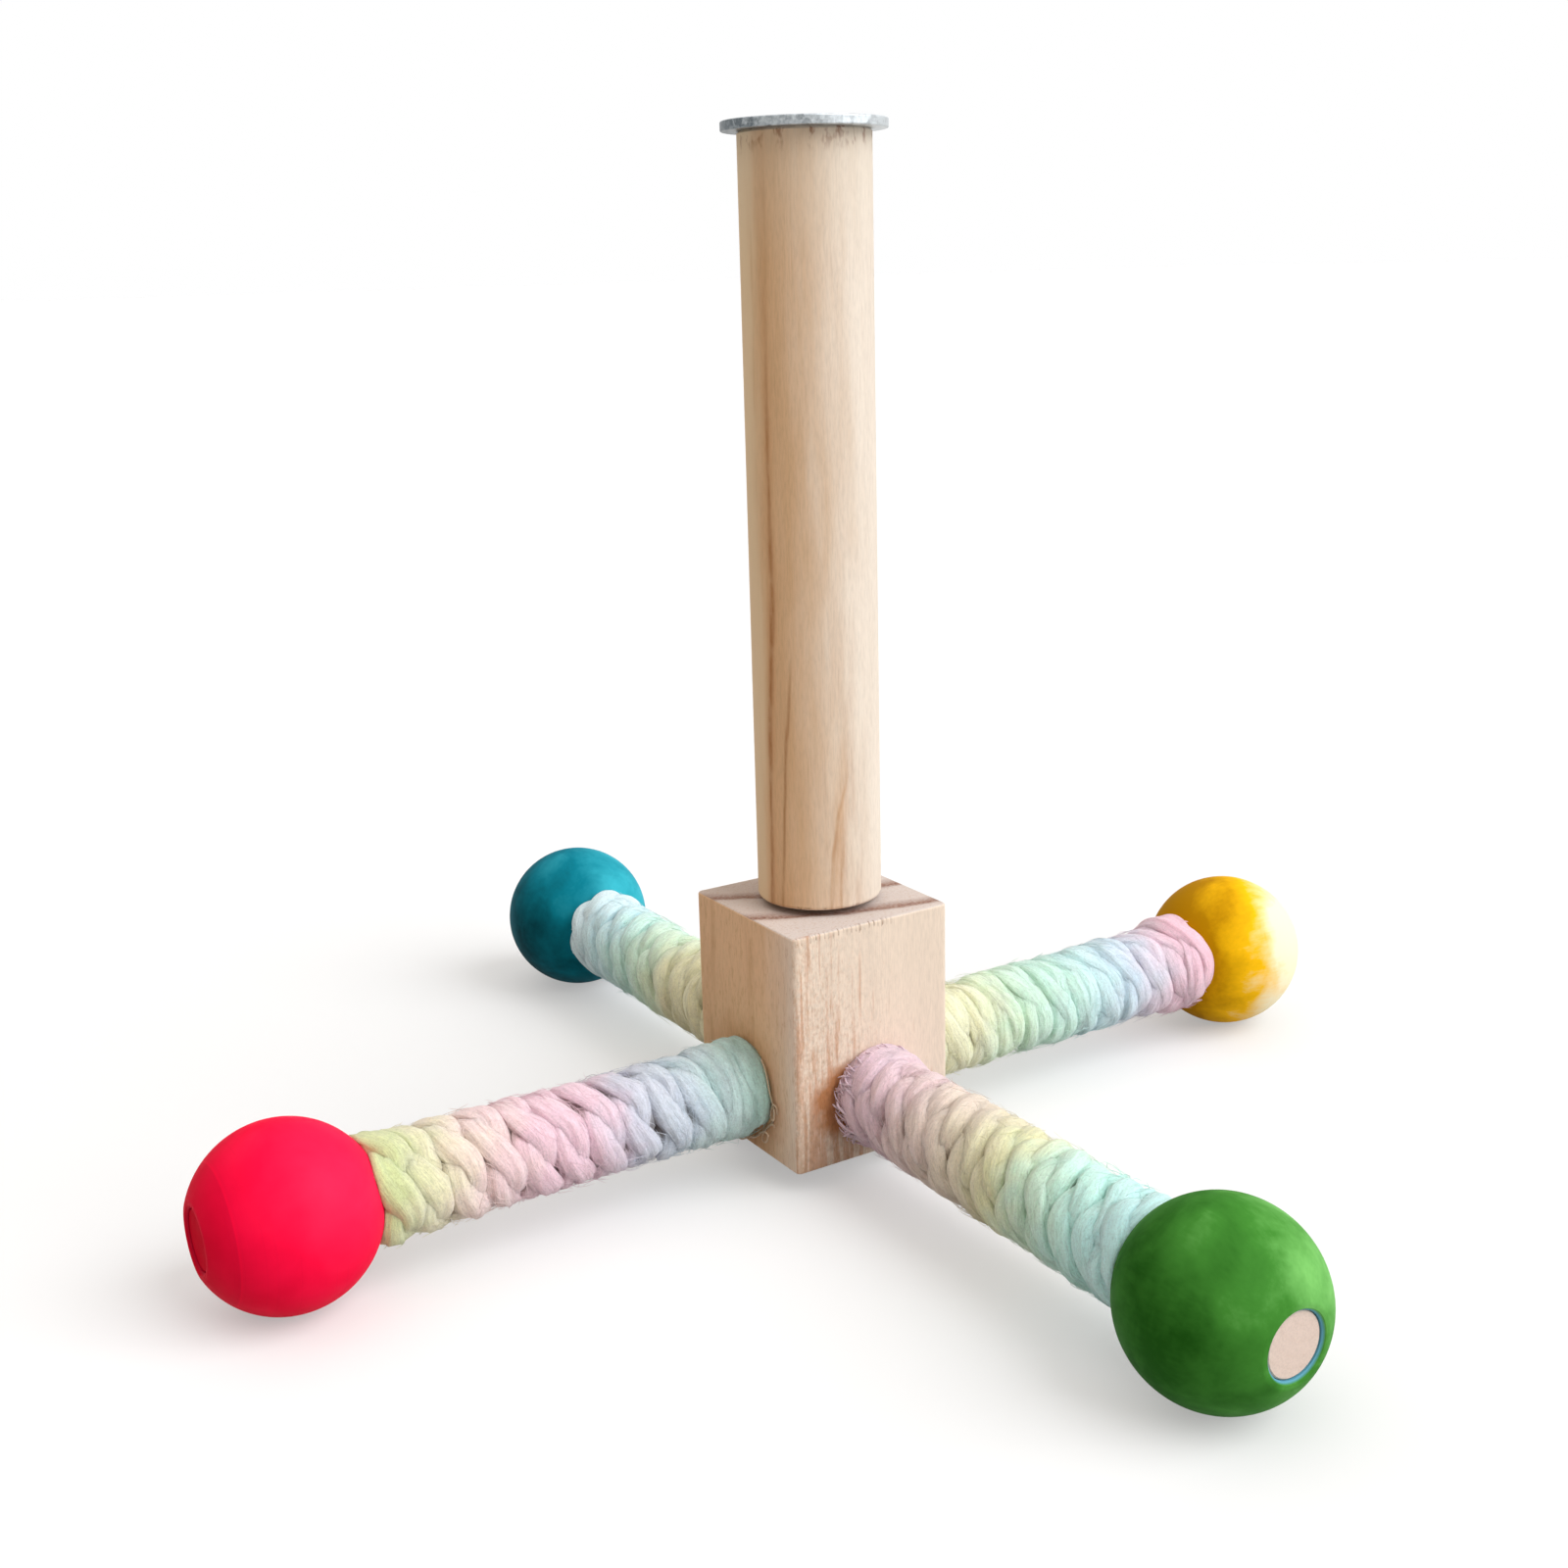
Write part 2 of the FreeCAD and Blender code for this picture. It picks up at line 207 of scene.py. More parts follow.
def pine(name, rings, tones, axis=UP, side=0.6, end=0.6, marks=None):
    """Raw pine. Growth rings lie round a pith line off to one side; fibres follow the axis.

    rings gives the pith's place and lean, the rings' spacing and phase, how loose they are, how far they
    swing and a distance where the swing peaks, and the last distance that has rings. tones gives the colours
    of the heartwood and the sapwood, which also paint the shaded and the lit side, and of the cut ends, the
    way from the first to the second, and the places along it where each is reached. side and end say how much
    the rings show on faces along and across the grain.
    marks, if given, adds the piece's own marks.
    """
    look = Look(name, 0.62, specular=0.06)
    place = look.place
    along = look.vector("DOT_PRODUCT", place, axis)
    flat = look.vector("SUBTRACT", place, look.vector("MULTIPLY", place, axis))

    def drawn_out(share):
        """Places for grain: the way along the axis counts only by the share given."""
        return look.vector("ADD", flat, look.vector("MULTIPLY", place, [share * a for a in axis]))

    end_grain = look.math("ABSOLUTE", look.vector("DOT_PRODUCT", look.normal, axis))
    end_grain = look.ramp(end_grain, (0.55, 0.0), (0.85, 1.0))
    # Distance from the pith, made uneven along and across the grain
    leaned = look.vector("ADD", flat, look.scaled(rings["lean"], along))
    out = look.vector("LENGTH", look.vector("SUBTRACT", leaned, rings["pith"]))
    slow = drawn_out(0.10)
    sway = look.about_zero(look.noise(slow, 0.12, 3.0), rings["loose"])
    wave = look.math("SUBTRACT", out, rings["peak"])
    wave = look.math("COSINE", look.math("MULTIPLY", wave, TURN / (RINGS_PER_WAVE * rings["spacing"])))
    radius = look.math("ADD", look.math("ADD", out, sway), look.math("MULTIPLY", wave, rings["swing"]))
    share = look.math("ADD", look.math("DIVIDE", radius, rings["spacing"]), rings["phase"])
    share = look.math("FRACT", share)
    inside = look.ramp(look.math("DIVIDE", out, rings["last"]), (0.93, 1.0), (1.0, 0.0))
    # On faces along the grain a ring is a thin line that fades in places; on the ends it is a band
    which = look.ramp(look.noise(slow, 0.55, 4.0, 0.6), (0.40, 0.10), (0.60, 1.0))
    line = look.product(look.ramp(share, *LATE_LINE), which, inside, side)
    pores = look.ramp(look.noise(drawn_out(0.20), 1.6, 4.0, 0.7), (0.25, 0.35), (0.62, 1.0))
    band = look.product(look.ramp(share, *LATE_BAND), inside, pores, end)
    # Fibres: long streaks at two widths, short dashes, and dark resin flecks
    fine = drawn_out(0.03)
    hair = look.noise(fine, 4.0, 3.0, 0.65)
    broad = look.noise(slow, 0.30, 3.0, 0.6)
    dash = look.noise(drawn_out(0.14), 3.2, 2.0, 0.6)
    fleck = look.noise(look.vector("ADD", fine, FLECK_SHIFT), 2.2, 1.0)
    fleck = look.ramp(fleck, (0.70, 0.0), (0.77, 1.0))
    # From heartwood to sapwood across the piece, towards the lit side: partly the wood's own tone, partly
    # painted shade and light
    across = look.math("SUBTRACT", look.vector("DOT_PRODUCT", place, tones["way"]), tones["low"])
    across = look.math("DIVIDE", across, tones["high"] - tones["low"])
    across = look.math("ADD", across, look.about_zero(broad, 0.55))
    tone = look.ramp(across, (0.0, tones["heart_and_shade"]), (1.0, tones["sap_and_light"]), ease=True)
    tone = look.shaded(tone, broad, (0.30, 0.95), (0.60, 1.0))
    tone = look.mix(look.math("MULTIPLY", end_grain, 0.85), tone, tones["cut"])
    tone = look.mix(line, tone, LATE_LINE_COLOUR)
    tone = look.mix(look.math("MULTIPLY", band, end_grain), tone, LATE_BAND_COLOUR)
    tone = look.shaded(tone, hair, (0.28, 0.95), (0.58, 1.0))
    tone = look.mix(look.math("MULTIPLY", fleck, 0.16), tone, FLECK_COLOUR)
    tone = look.shaded(tone, dash, (0.34, 0.93), (0.52, 1.0), (0.66, 1.03))
    if marks:
        tone = marks(look, tone)
    height = look.math("SUBTRACT", look.math("ADD", hair, look.math("MULTIPLY", line, 0.5)), fleck)
    look.bump(height, 0.18, 0.07)
    return look.finish(tone, look.ramp(broad, (0.3, 0.70), (0.7, 0.58)))


# Marks of the block. A place is on its front face where y is below FRONT_SKIN.
FRONT_SKIN = -BLOCK_FACE + 0.7
# Painted shade where the ropes meet the block, orange-brown, on the front face and then on the others: the
# coordinates that count, the shade's middle, its reach and its strength
ROPE_SHADES = (
    {"keep": (1, 0, 1), "middle": (-7.0, 0.0, 18.0), "reach": 11.0, "strength": 0.9},
    {"keep": (0, 1, 1), "middle": (0.0, 0.0, ARM_HEIGHT), "reach": 20.0, "strength": 0.35},
)
ROPE_SHADE_COLOUR = "#cb8c55"
# Saw marks along the front top edge: their spacing, longest reach down, last place to the right, and colour
SAW_PITCH = 1.05
SAW_REACH = 2.5
SAW_STOP = 5.0
SAW_COLOUR = "#7d522f"
# Streaks and then specks: how much height counts, scale, the noise at which they start and are full,
# strength and colour
BLOCK_STREAKS = (
    (0.06, 0.8, 0.50, 0.62, 0.50, "#b97c55"),
    (0.45, 2.0, 0.46, 0.62, 0.30, "#c08a62"),
)
PORE_COLOUR = "#b08359"


def block_marks(look, tone):
    """Painted shade round the ropes, saw marks along the front top edge, reddish streaks and specks that
    gather towards the lower left of the front face, and pores."""
    x, y, z = look.coordinates()
    front = look.math("LESS_THAN", y, FRONT_SKIN)
    others = look.math("SUBTRACT", 1.0, front)
    # Painted shade: orange-brown darkening round each rope where it meets the block
    patchy = look.about_zero(look.noise(look.place, 0.25, 3.0), 6.0)
    for face, stain in zip((front, others), ROPE_SHADES):
        near = look.vector("SUBTRACT", look.vector("MULTIPLY", look.place, stain["keep"]), stain["middle"])
        near = look.math("ADD", look.vector("LENGTH", near), patchy)
        rope_shade = look.ramp(look.math("DIVIDE", near, stain["reach"]), (0.48, stain["strength"]), (0.80, 0.0))
        rope_shaded = look.mix(1.0, tone, ROPE_SHADE_COLOUR, "MULTIPLY")
        tone = look.mix(look.math("MULTIPLY", rope_shade, face), tone, rope_shaded)
    # The saw marks are short ticks of uneven length and depth
    uneven = look.noise(look.vector("MULTIPLY", look.place, (0.8, 0.0, 0.0)), 1.0, 2.0)
    tick = look.math("ADD", look.math("DIVIDE", x, SAW_PITCH), look.math("MULTIPLY", uneven, 1.4))
    tick = look.ramp(look.math("FRACT", tick), (0.08, 1.0), (0.40, 0.0))
    foot = look.math("SUBTRACT", BLOCK_TOP, look.math("MULTIPLY", uneven, SAW_REACH))
    high = look.math("GREATER_THAN", z, foot)
    left = look.math("LESS_THAN", x, SAW_STOP)
    deep = look.noise(look.vector("ADD", look.place, (9.0, 0.0, 0.0)), 0.5, 2.0)
    deep = look.ramp(deep, (0.40, 0.12), (0.62, 0.75))
    tone = look.mix(look.product(tick, high, front, left, deep), tone, SAW_COLOUR)
    # Streaks, specks and roughness; all gather towards the lower left
    corner = look.math("ADD", look.math("MULTIPLY", x, -0.008), look.math("MULTIPLY", z, -0.003))
    for share, scale, low, full, strength, colour in BLOCK_STREAKS:
        speck = look.math("ADD", look.noise(look.upright(share), scale, 3.0, 0.6), corner)
        speck = look.ramp(speck, (low, 0.0), (full, strength))
        tone = look.mix(look.math("MULTIPLY", speck, front), tone, colour)
    rough = look.noise(look.upright(0.5), 1.3, 3.0, 0.7)
    rough = look.shaded(tone, rough, (0.34, 0.84), (0.50, 1.0), (0.66, 1.06))
    where = look.math("ADD", look.math("MULTIPLY", corner, 4.0), 0.9, clamp=True)
    tone = look.mix(look.math("MULTIPLY", front, where), tone, rough)
    # Short pores on the planed faces, but not on the clean upper right of the front one
    pores = look.ramp(look.noise(look.upright(0.22), 1.7, 3.0, 0.7), (0.32, 0.5), (0.47, 0.0))
    where = look.math("MULTIPLY", look.math("SUBTRACT", where, 0.35, clamp=True), front)
    where = look.math("ADD", where, look.math("MULTIPLY", others, 0.75))
    return look.mix(look.math("MULTIPLY", pores, where), tone, PORE_COLOUR)


# Marks of the post. Level directions: to the photograph's right, out towards its eye, and to the pale strip
# of painted reflected light.
VIEW_RIGHT = (0.848, -0.530, 0.0)
VIEW_OUT = (-0.530, -0.848, 0.0)
REFLECTED_STRIP_WAY = (-0.948, 0.318, 0.0)
REFLECTED_STRIP_COLOUR = "#e6cda9"
TOP_COLOUR = "#d6cbb8"
# Resin lines on the side that the photograph shows. Each has its path and its strength, from the foot (0) to
# the top (1); a place on the path is 0 at the left edge and 1 at the right. Then come half width and colour.
LONG_PATH = ((0.04, 0.12), (0.24, 0.14), (0.43, 0.176), (0.80, 0.174))
POST_LINES = (
    (LONG_PATH, ((0.0, 0.40), (0.24, 0.50), (0.60, 0.42), (0.90, 0.15)), 0.060, "#c28a58"),
    (LONG_PATH, ((0.0, 0.55), (0.24, 0.80), (0.50, 0.65), (0.66, 0.35), (0.84, 0.0)), 0.026, "#9c6238"),
    (((0.03, 0.205), (0.185, 0.24), (0.346, 0.305)),
     ((0.0, 0.45), (0.18, 0.75), (0.29, 0.55), (0.36, 0.0)), 0.020, "#a06a3e"),
    (((0.024, 0.585), (0.078, 0.61), (0.13, 0.65), (0.185, 0.73)),
     ((0.0, 0.45), (0.10, 0.55), (0.16, 0.40), (0.21, 0.0)), 0.022, "#ae784a"),
    (((0.02, 0.655), (0.12, 0.69)), ((0.0, 0.6), (0.07, 0.5), (0.12, 0.0)), 0.018, "#a06a40"),
    (((0.0, 0.62), (0.20, 0.70)), ((0.0, 0.35), (0.14, 0.30), (0.24, 0.0)), 0.075, "#cf9d6c"),
)
# Nicks at the foot's edge, and reddish painted shade under the washer broken up the same way: the heights
# where they start and are full, and their colour
NICKS_AND_WASHER_SHADE = (
    (POST_FOOT + 0.9, POST_FOOT + 0.3, "#7d5a3e"),
    (POST_TOP - 4.5, POST_TOP - 0.4, "#8a5030"),
)


def post_marks(look, tone):
    """A pale strip of painted reflected light down the side that faces left in the photograph, a paler top,
    resin lines, nicks at the foot, and painted shade under the washer."""
    z = look.coordinates()[2]
    waver = look.noise(look.upright(0.12), 0.35, 3.0)
    # Painted reflected light: a pale strip down the left side
    aside = look.math("DIVIDE", look.vector("DOT_PRODUCT", look.place, REFLECTED_STRIP_WAY), POST_RADIUS)
    aside = look.math("ADD", aside, look.about_zero(waver, 0.16))
    tone = look.mix(look.ramp(aside, (0.85, 0.0), (0.98, 0.8), ease=True), tone, REFLECTED_STRIP_COLOUR)
    up = look.math("DIVIDE", look.math("SUBTRACT", z, POST_FOOT), POST_TOP - POST_FOOT)
    tone = look.mix(look.ramp(up, (0.84, 0.0), (1.0, 0.32)), tone, TOP_COLOUR)
    across = look.vector("DOT_PRODUCT", look.place, VIEW_RIGHT)
    across = look.math("ADD", look.math("MULTIPLY", across, 0.5 / POST_RADIUS), look.about_zero(waver, 0.05))
    across = look.math("ADD", across, 0.5)
    faces = look.math("GREATER_THAN", look.vector("DOT_PRODUCT", look.place, VIEW_OUT), 0.0)
    broken = look.ramp(look.noise(look.upright(0.25), 0.5, 4.0, 0.7), (0.36, 0.45), (0.58, 1.0))
    for path, strength, half, colour in POST_LINES:
        off = look.math("ABSOLUTE", look.math("SUBTRACT", across, look.ramp(up, *path)))
        line = look.ramp(look.math("DIVIDE", off, half), (0.0, 1.0), (1.0, 0.0), ease=True)
        line = look.product(line, look.ramp(up, *strength), broken, faces)
        tone = look.mix(line, tone, colour)
    nick_and_shade = look.ramp(look.noise(look.upright(0.45), 0.62, 2.0, 0.7), (0.55, 0.0), (0.66, 1.0))
    # The second row is painted shade under the washer
    for start, full, colour in NICKS_AND_WASHER_SHADE:
        near = look.math("DIVIDE", look.math("SUBTRACT", z, start), full - start, clamp=True)
        tone = look.mix(look.product(near, nick_and_shade, 0.7), tone, colour)
    return tone


DYED_FROM = BEAD_CENTRE + 10.0


def dyed_end(colour):
    """Marks for a dowel whose end took the bead's stain, which is duller than the bare wood."""

    def marks(look, tone):
        far = look.math("GREATER_THAN", look.vector("LENGTH", look.place), DYED_FROM)
        fill(look.shader, {"Specular IOR Level": 0.01})
        return look.mix(far, tone, look.mix(0.5, colour, look.mix(1.0, colour, tone, "MULTIPLY")))

    return marks


# Beads

# The way to a bead's lit side, where its stain is painted lighter
LIT_SIDE_WAY = (0.71, -0.45, 0.54)
# Brightness at a turned line round a bead and past it; the line is at 0.5
SHOULDER = ((0.47, 1.0), (0.49, 1.05), (0.51, 0.91), (0.62, 0.95))


def bead(name, way, stain, mottling, turning, rim, lit_side_lift, lit_side_way=LIT_SIDE_WAY, grainy=0.07, shoulder=None):
    """Stained wooden bead: cloudy stain over grain that runs along the arm, faint turning lines, and a rim.

    stain gives its dark, middle and light colours, mottling how far it goes between them, and grainy how much
    thin and lit_side_way paint light: the stain is painted lighter by thin towards lit_side_way, the lit
    side, and darker away from it. shoulder, if given, is where along the arm, from the bead's middle, a
    turned line runs round it; beyond the line the stain is deeper.
    the bead's middle, a turned line runs round it; beyond the line the stain is deeper.
    """
    look = Look(name, 0.6, specular=0.04)
    centre = [BEAD_CENTRE * w for w in way[:2]] + [ARM_HEIGHT]
    place = look.vector("SUBTRACT", look.place, centre)
    along = look.vector("DOT_PRODUCT", place, way)
    line = look.scaled(way, along)
    flat = look.vector("SUBTRACT", place, line)
    cloud = look.noise(place, 0.09, 4.0, 0.55, 0.3)
    grain = look.noise(look.vector("ADD", flat, look.scaled(line, 0.10)), 1.3, 3.0, 0.65)
    level = look.math("ADD", look.math("MULTIPLY", cloud, 1.0 - grainy), look.math("MULTIPLY", grain, grainy))
    # Painted light and shade: the stain gets lighter towards the lit side and darker away from it
    lit_side_fade = look.vector("DOT_PRODUCT", place, [lit_side_lift / BEAD_RADIUS * v for v in lit_side_way])
    level = look.math("ADD", look.math("ADD", look.about_zero(level, mottling), lit_side_fade), 0.5)
    tone = look.ramp(level, *zip((0.32, 0.54, 0.74), stain))
    # Turning lines are rings about the arm, so they depend on the place along it
    rings = look.noise(line, 1.9, 2.0, 0.7)
    turned_tone = look.shaded(tone, rings, (0.32, 0.86), (0.46, 1.0), (0.64, 1.0), (0.72, 1.08))
    tone = look.mix(turning, tone, turned_tone)
    if shoulder:
        past = look.math("SUBTRACT", look.math("DIVIDE", along, shoulder), 0.5)
        beyond = look.math("GREATER_THAN", past, SHOULDER[0][0])
        tone = look.mix(beyond, tone, look.shaded(tone, past, *SHOULDER))
    edge = look.math("MULTIPLY", look.vector("LENGTH", flat), 0.1)
    tone = look.mix(look.ramp(edge, (0.595, 1.0), (0.625, 0.0)), tone, rim)
    height = look.math("ADD", look.math("MULTIPLY", grain, 0.5), look.math("MULTIPLY", rings, turning))
    look.bump(height, 0.12, 0.08)
    return look.finish(tone, look.ramp(cloud, (0.3, 0.68), (0.7, 0.54)))


# Metal and nylon


def metal(name, dark, light, spangle, roughness):
    """Zinc-coated steel: crystal patches that differ in tone, a dull cloudy coat, and a painted reflection
    that makes it lighter towards the right front. spangle is the scale of the patches."""
    look = Look(name, roughness, metallic=1.0)
    place = look.place
    cells = fill(look.node("ShaderNodeTexVoronoi"), {"Scale": spangle})
    look.put(cells.inputs["Vector"], look.vector("ADD", place, look.noise(place, 0.8, 2.0)))
    patch = look.vector("DOT_PRODUCT", cells.outputs["Color"], (0.4, 0.3, 0.3))
    dull = look.noise(place, 1.4, 4.0, 0.7)
    level = look.math("ADD", look.math("MULTIPLY", patch, 0.32), look.math("MULTIPLY", dull, 0.68))
    # Painted reflection: lighter towards +x and -y, where the key lamp shines
    level = look.math("ADD", level, look.vector("DOT_PRODUCT", place, (0.015, -0.009, 0.0)))
    look.bump(dull, 0.18, 0.05)
    rough = look.ramp(patch, (0.1, roughness - 0.10), (0.9, roughness + 0.14))
    return look.finish(look.ramp(level, (0.2, dark), (0.75, light)), rough)


def nylon(name):
    """Dark moulded nylon with a fine matt texture."""
    look = Look(name, 0.55)
    speck = look.noise(look.place, 6.0, 3.0)
    look.bump(speck, 0.2, 0.05)
    return look.finish(look.ramp(speck, (0.3, "#26241f"), (0.7, "#37342d")))


# Rope

# The places along an arm where its first and last dye colours lie
DYE_START = 19.35
DYE_END = 98.15
# Shares of light that spread inside the rope, its loose fibres and the beige thread
ROPE_GLOW = 0.35
FIBRE_GLOW = 0.0
THREAD_GLOW = 0.5


def cotton(name, way, stops, glow, groove_shade="#c4b5a6", felt=0.0):
    """Soft dyed cotton. The dye changes along the arm; fibres follow the map that runs along each ply.

    glow is the share of light that spreads inside. groove is a painted shade: the colour that the dye is
    multiplied by in the grooves, where light doesn't reach, and felt is how much the matted short fibres
    change it.
    """
    look = Look(name, 0.92, specular=0.15)
    fill(look.shader, {"Sheen Weight": 0.25, "Sheen Roughness": 0.6, "Subsurface Weight": glow})
    fill(look.shader, {"Subsurface Radius": (1.0, 0.9, 0.8), "Subsurface Scale": 1.6 * MM})
    along = look.vector("DOT_PRODUCT", look.place, way)
    share = look.math("DIVIDE", look.math("SUBTRACT", along, DYE_START), DYE_END - DYE_START)
    drift = look.about_zero(look.noise(look.place, 0.12, 2.0), 0.20)
    tone = look.ramp(look.math("ADD", share, drift), *stops)
    fibre_map = look.node("ShaderNodeUVMap", uv_map="fibre").outputs["UV"]
    fine = look.noise(look.vector("MULTIPLY", fibre_map, (4.6, 0.50, 1.0)), 1.0, 4.0, 0.75, 0.6)
    strand = look.noise(look.vector("MULTIPLY", fibre_map, (1.9, 0.16, 1.0)), 1.0, 2.0, 0.6)
    tone = look.shaded(tone, fine, (0.28, 0.76), (0.55, 1.0), (0.78, 1.09))
    tone = look.shaded(tone, strand, (0.30, 0.88), (0.60, 1.0))
    # Painted shade: light doesn't reach the grooves, so the dye is painted darker there
    open_share = look.node("ShaderNodeAttribute", attribute_name="crest").outputs["Fac"]
    deep = look.mix(1.0, tone, groove_shade, "MULTIPLY")
    tone = look.mix(look.ramp(open_share, (0.05, 1.0), (0.60, 0.0)), tone, deep)
    height = look.math("ADD", look.math("MULTIPLY", fine, 0.5), strand)
    if felt:
        matted = look.noise(look.place, 2.4, 4.0, 0.75, 0.5)
        tone = look.shaded(tone, matted, (0.30, 1.0 - 1.6 * felt), (0.48, 1.0), (0.70, 1.0 + felt))
        height = look.math("ADD", height, look.math("MULTIPLY", matted, 6.0 * felt))
    look.bump(height, 0.75, 0.42)
    return look.finish(tone)


# Dye colours along each arm, from the block (0) to the bead (1)
ROPE_DYES = {
    "left": (
        (0.0, "#bee8dd"), (0.10, "#cae7e3"), (0.20, "#d0dfe9"), (0.36, "#d6d6e4"), (0.46, "#f3d2df"),
        (0.62, "#f5d0db"), (0.78, "#f5ddd5"), (0.89, "#ece6c4"), (1.0, "#d2dca4"),
    ),
    "front": (
        (0.0, "#e8c9d9"), (0.16, "#edd1d6"), (0.32, "#eedbcf"), (0.48, "#ebe0c6"), (0.60, "#ecebbe"),
        (0.72, "#daf8e0"), (0.86, "#d0fff4"), (1.0, "#ccf9f8"),
    ),
    "back": (
        (0.0, "#f4ecc4"), (0.40, "#f5f2cb"), (0.54, "#e2fbdf"), (0.70, "#d8fdf0"), (0.84, "#d8faff"),
        (1.0, "#e2f8ff"),
    ),
    "right": (
        (0.0, "#f8f5d3"), (0.18, "#f6f6d0"), (0.32, "#dcf8dc"), (0.48, "#d6faea"), (0.62, "#d6f7f8"),
        (0.76, "#d9eaf8"), (0.86, "#ecdcea"), (0.94, "#f6d0de"), (1.0, "#f8c8d8"),
    ),
}

# Each rope: the length of one twist of its plies, its middle's distance from the arm's line at the block and
# at the bead, the turns of its smooth cuff, how thick its last turns get, how far a ply lifts over the other,
# how far the first (flare) and last (skirt) turns stand out, how many loose fibres it has, and for its cotton
# the colour of the painted shade in the grooves and how felted it is
ROPE_STYLE = {
    "left": {
        "lay": 25.5, "inner": 7.1, "outer": 8.0, "cuff": 2.1, "fat": 1.14, "relief": 0.72, "flare": 0.0,
        "skirt": 0.0, "hairs": 2600, "groove_shade": "#94857a", "felt": 0.12,
    },
    "front": {
        "lay": 22.0, "inner": 7.3, "outer": 8.0, "cuff": 0.5, "fat": 1.04, "relief": 0.66, "flare": 0.7,
        "skirt": 0.3, "hairs": 3000, "groove_shade": "#b2a395", "felt": 0.12,
    },
    "back": {
        "lay": 21.0, "inner": 7.4, "outer": 7.8, "cuff": 0.5, "fat": 1.04, "relief": 0.72, "flare": 0.0,
        "skirt": 0.4, "hairs": 3000, "groove_shade": "#d0c5ba", "felt": 0.14,
    },
    "right": {
        "lay": 28.0, "inner": 7.4, "outer": 7.9, "cuff": 0.5, "fat": 1.06, "relief": 0.26, "flare": 0.0,
        "skirt": 1.5, "hairs": 3000, "groove_shade": "#e6e0d9", "felt": 0.12,
    },
}

STEPS_PER_TURN = 84
ROUND_PLY = 28
# The usual distance of the rope's middle from the arm's line, and the angle at which the rope leans there
HELIX_RADIUS = 8.3
HELIX_LEAN = math.atan(ROPE_PITCH / (TURN * HELIX_RADIUS))
# A ply: its distance from the rope's middle, its half width and half height, and those of the cuff
PLY_APART = 1.75
PLY_WIDTH = 2.55
PLY_HEIGHT = 2.05
CUFF_WIDTH = 4.9
CUFF_HEIGHT = 2.35
# Where one ply lies over the other both get wider and lower, and the lower one wider still
CROSSING_WIDER = 0.62
CROSSING_LOWER = 0.45
UNDER_WIDER = 0.45
# The length over which an end of the rope grows to its full thickness
END_LENGTH = 10.0
# Strands of a ply: how many stand out round it and how far, and how much rope they take for one radian
STRANDS = ((3, 0.04), (5, 0.05), (8, 0.05), (11, 0.045))
STRAND_TWIST = 38.0
# Room that the rope leaves to the dowel, and to the block and the bead
DOWEL_ROOM = 0.08
FACE_ROOM = 0.05


def smooth(value):
    """An eased step from 0 to 1."""
    value = np.clip(value, 0.0, 1.0)
    return value * value * (3.0 - 2.0 * value)


def wander(rng, along, wave, size):
    """A smooth random curve over the lengths in along: three waves of about that length."""
    total = np.zeros_like(along)
    for stretch in (0.62, 1.0, 1.73):
        total += np.sin(TURN * along / (wave * stretch) + rng.uniform(0.0, TURN))
    return total * size / 1.8


def bead_face(radius):
    """How far along the arm the bead's near side is, at a distance from the arm's line."""
    dome = np.sqrt(np.maximum(BEAD_RADIUS**2 - radius**2, 0.0))
    return BEAD_CENTRE - np.minimum(dome, BEAD_FLAT)


def seat(along, radius):
    """Presses rope points against the dowel, the block's face and the bead."""
    radius = np.maximum(radius, DOWEL_RADIUS + DOWEL_ROOM)
    along = np.maximum(along, BLOCK_FACE + FACE_ROOM)
    return np.minimum(along, bead_face(radius) - FACE_ROOM), radius


def turned(along, radius, angle, arm):
    """Points in the part's frame, in metres, from places along, out from and round an arm's line."""
    x, y, z = along, radius * np.sin(angle), ARM_HEIGHT - radius * np.cos(angle)
    c, s = ARMS[arm]["way"][:2]
    return np.stack([x * c - y * s, x * s + y * c, z], axis=-1) * MM


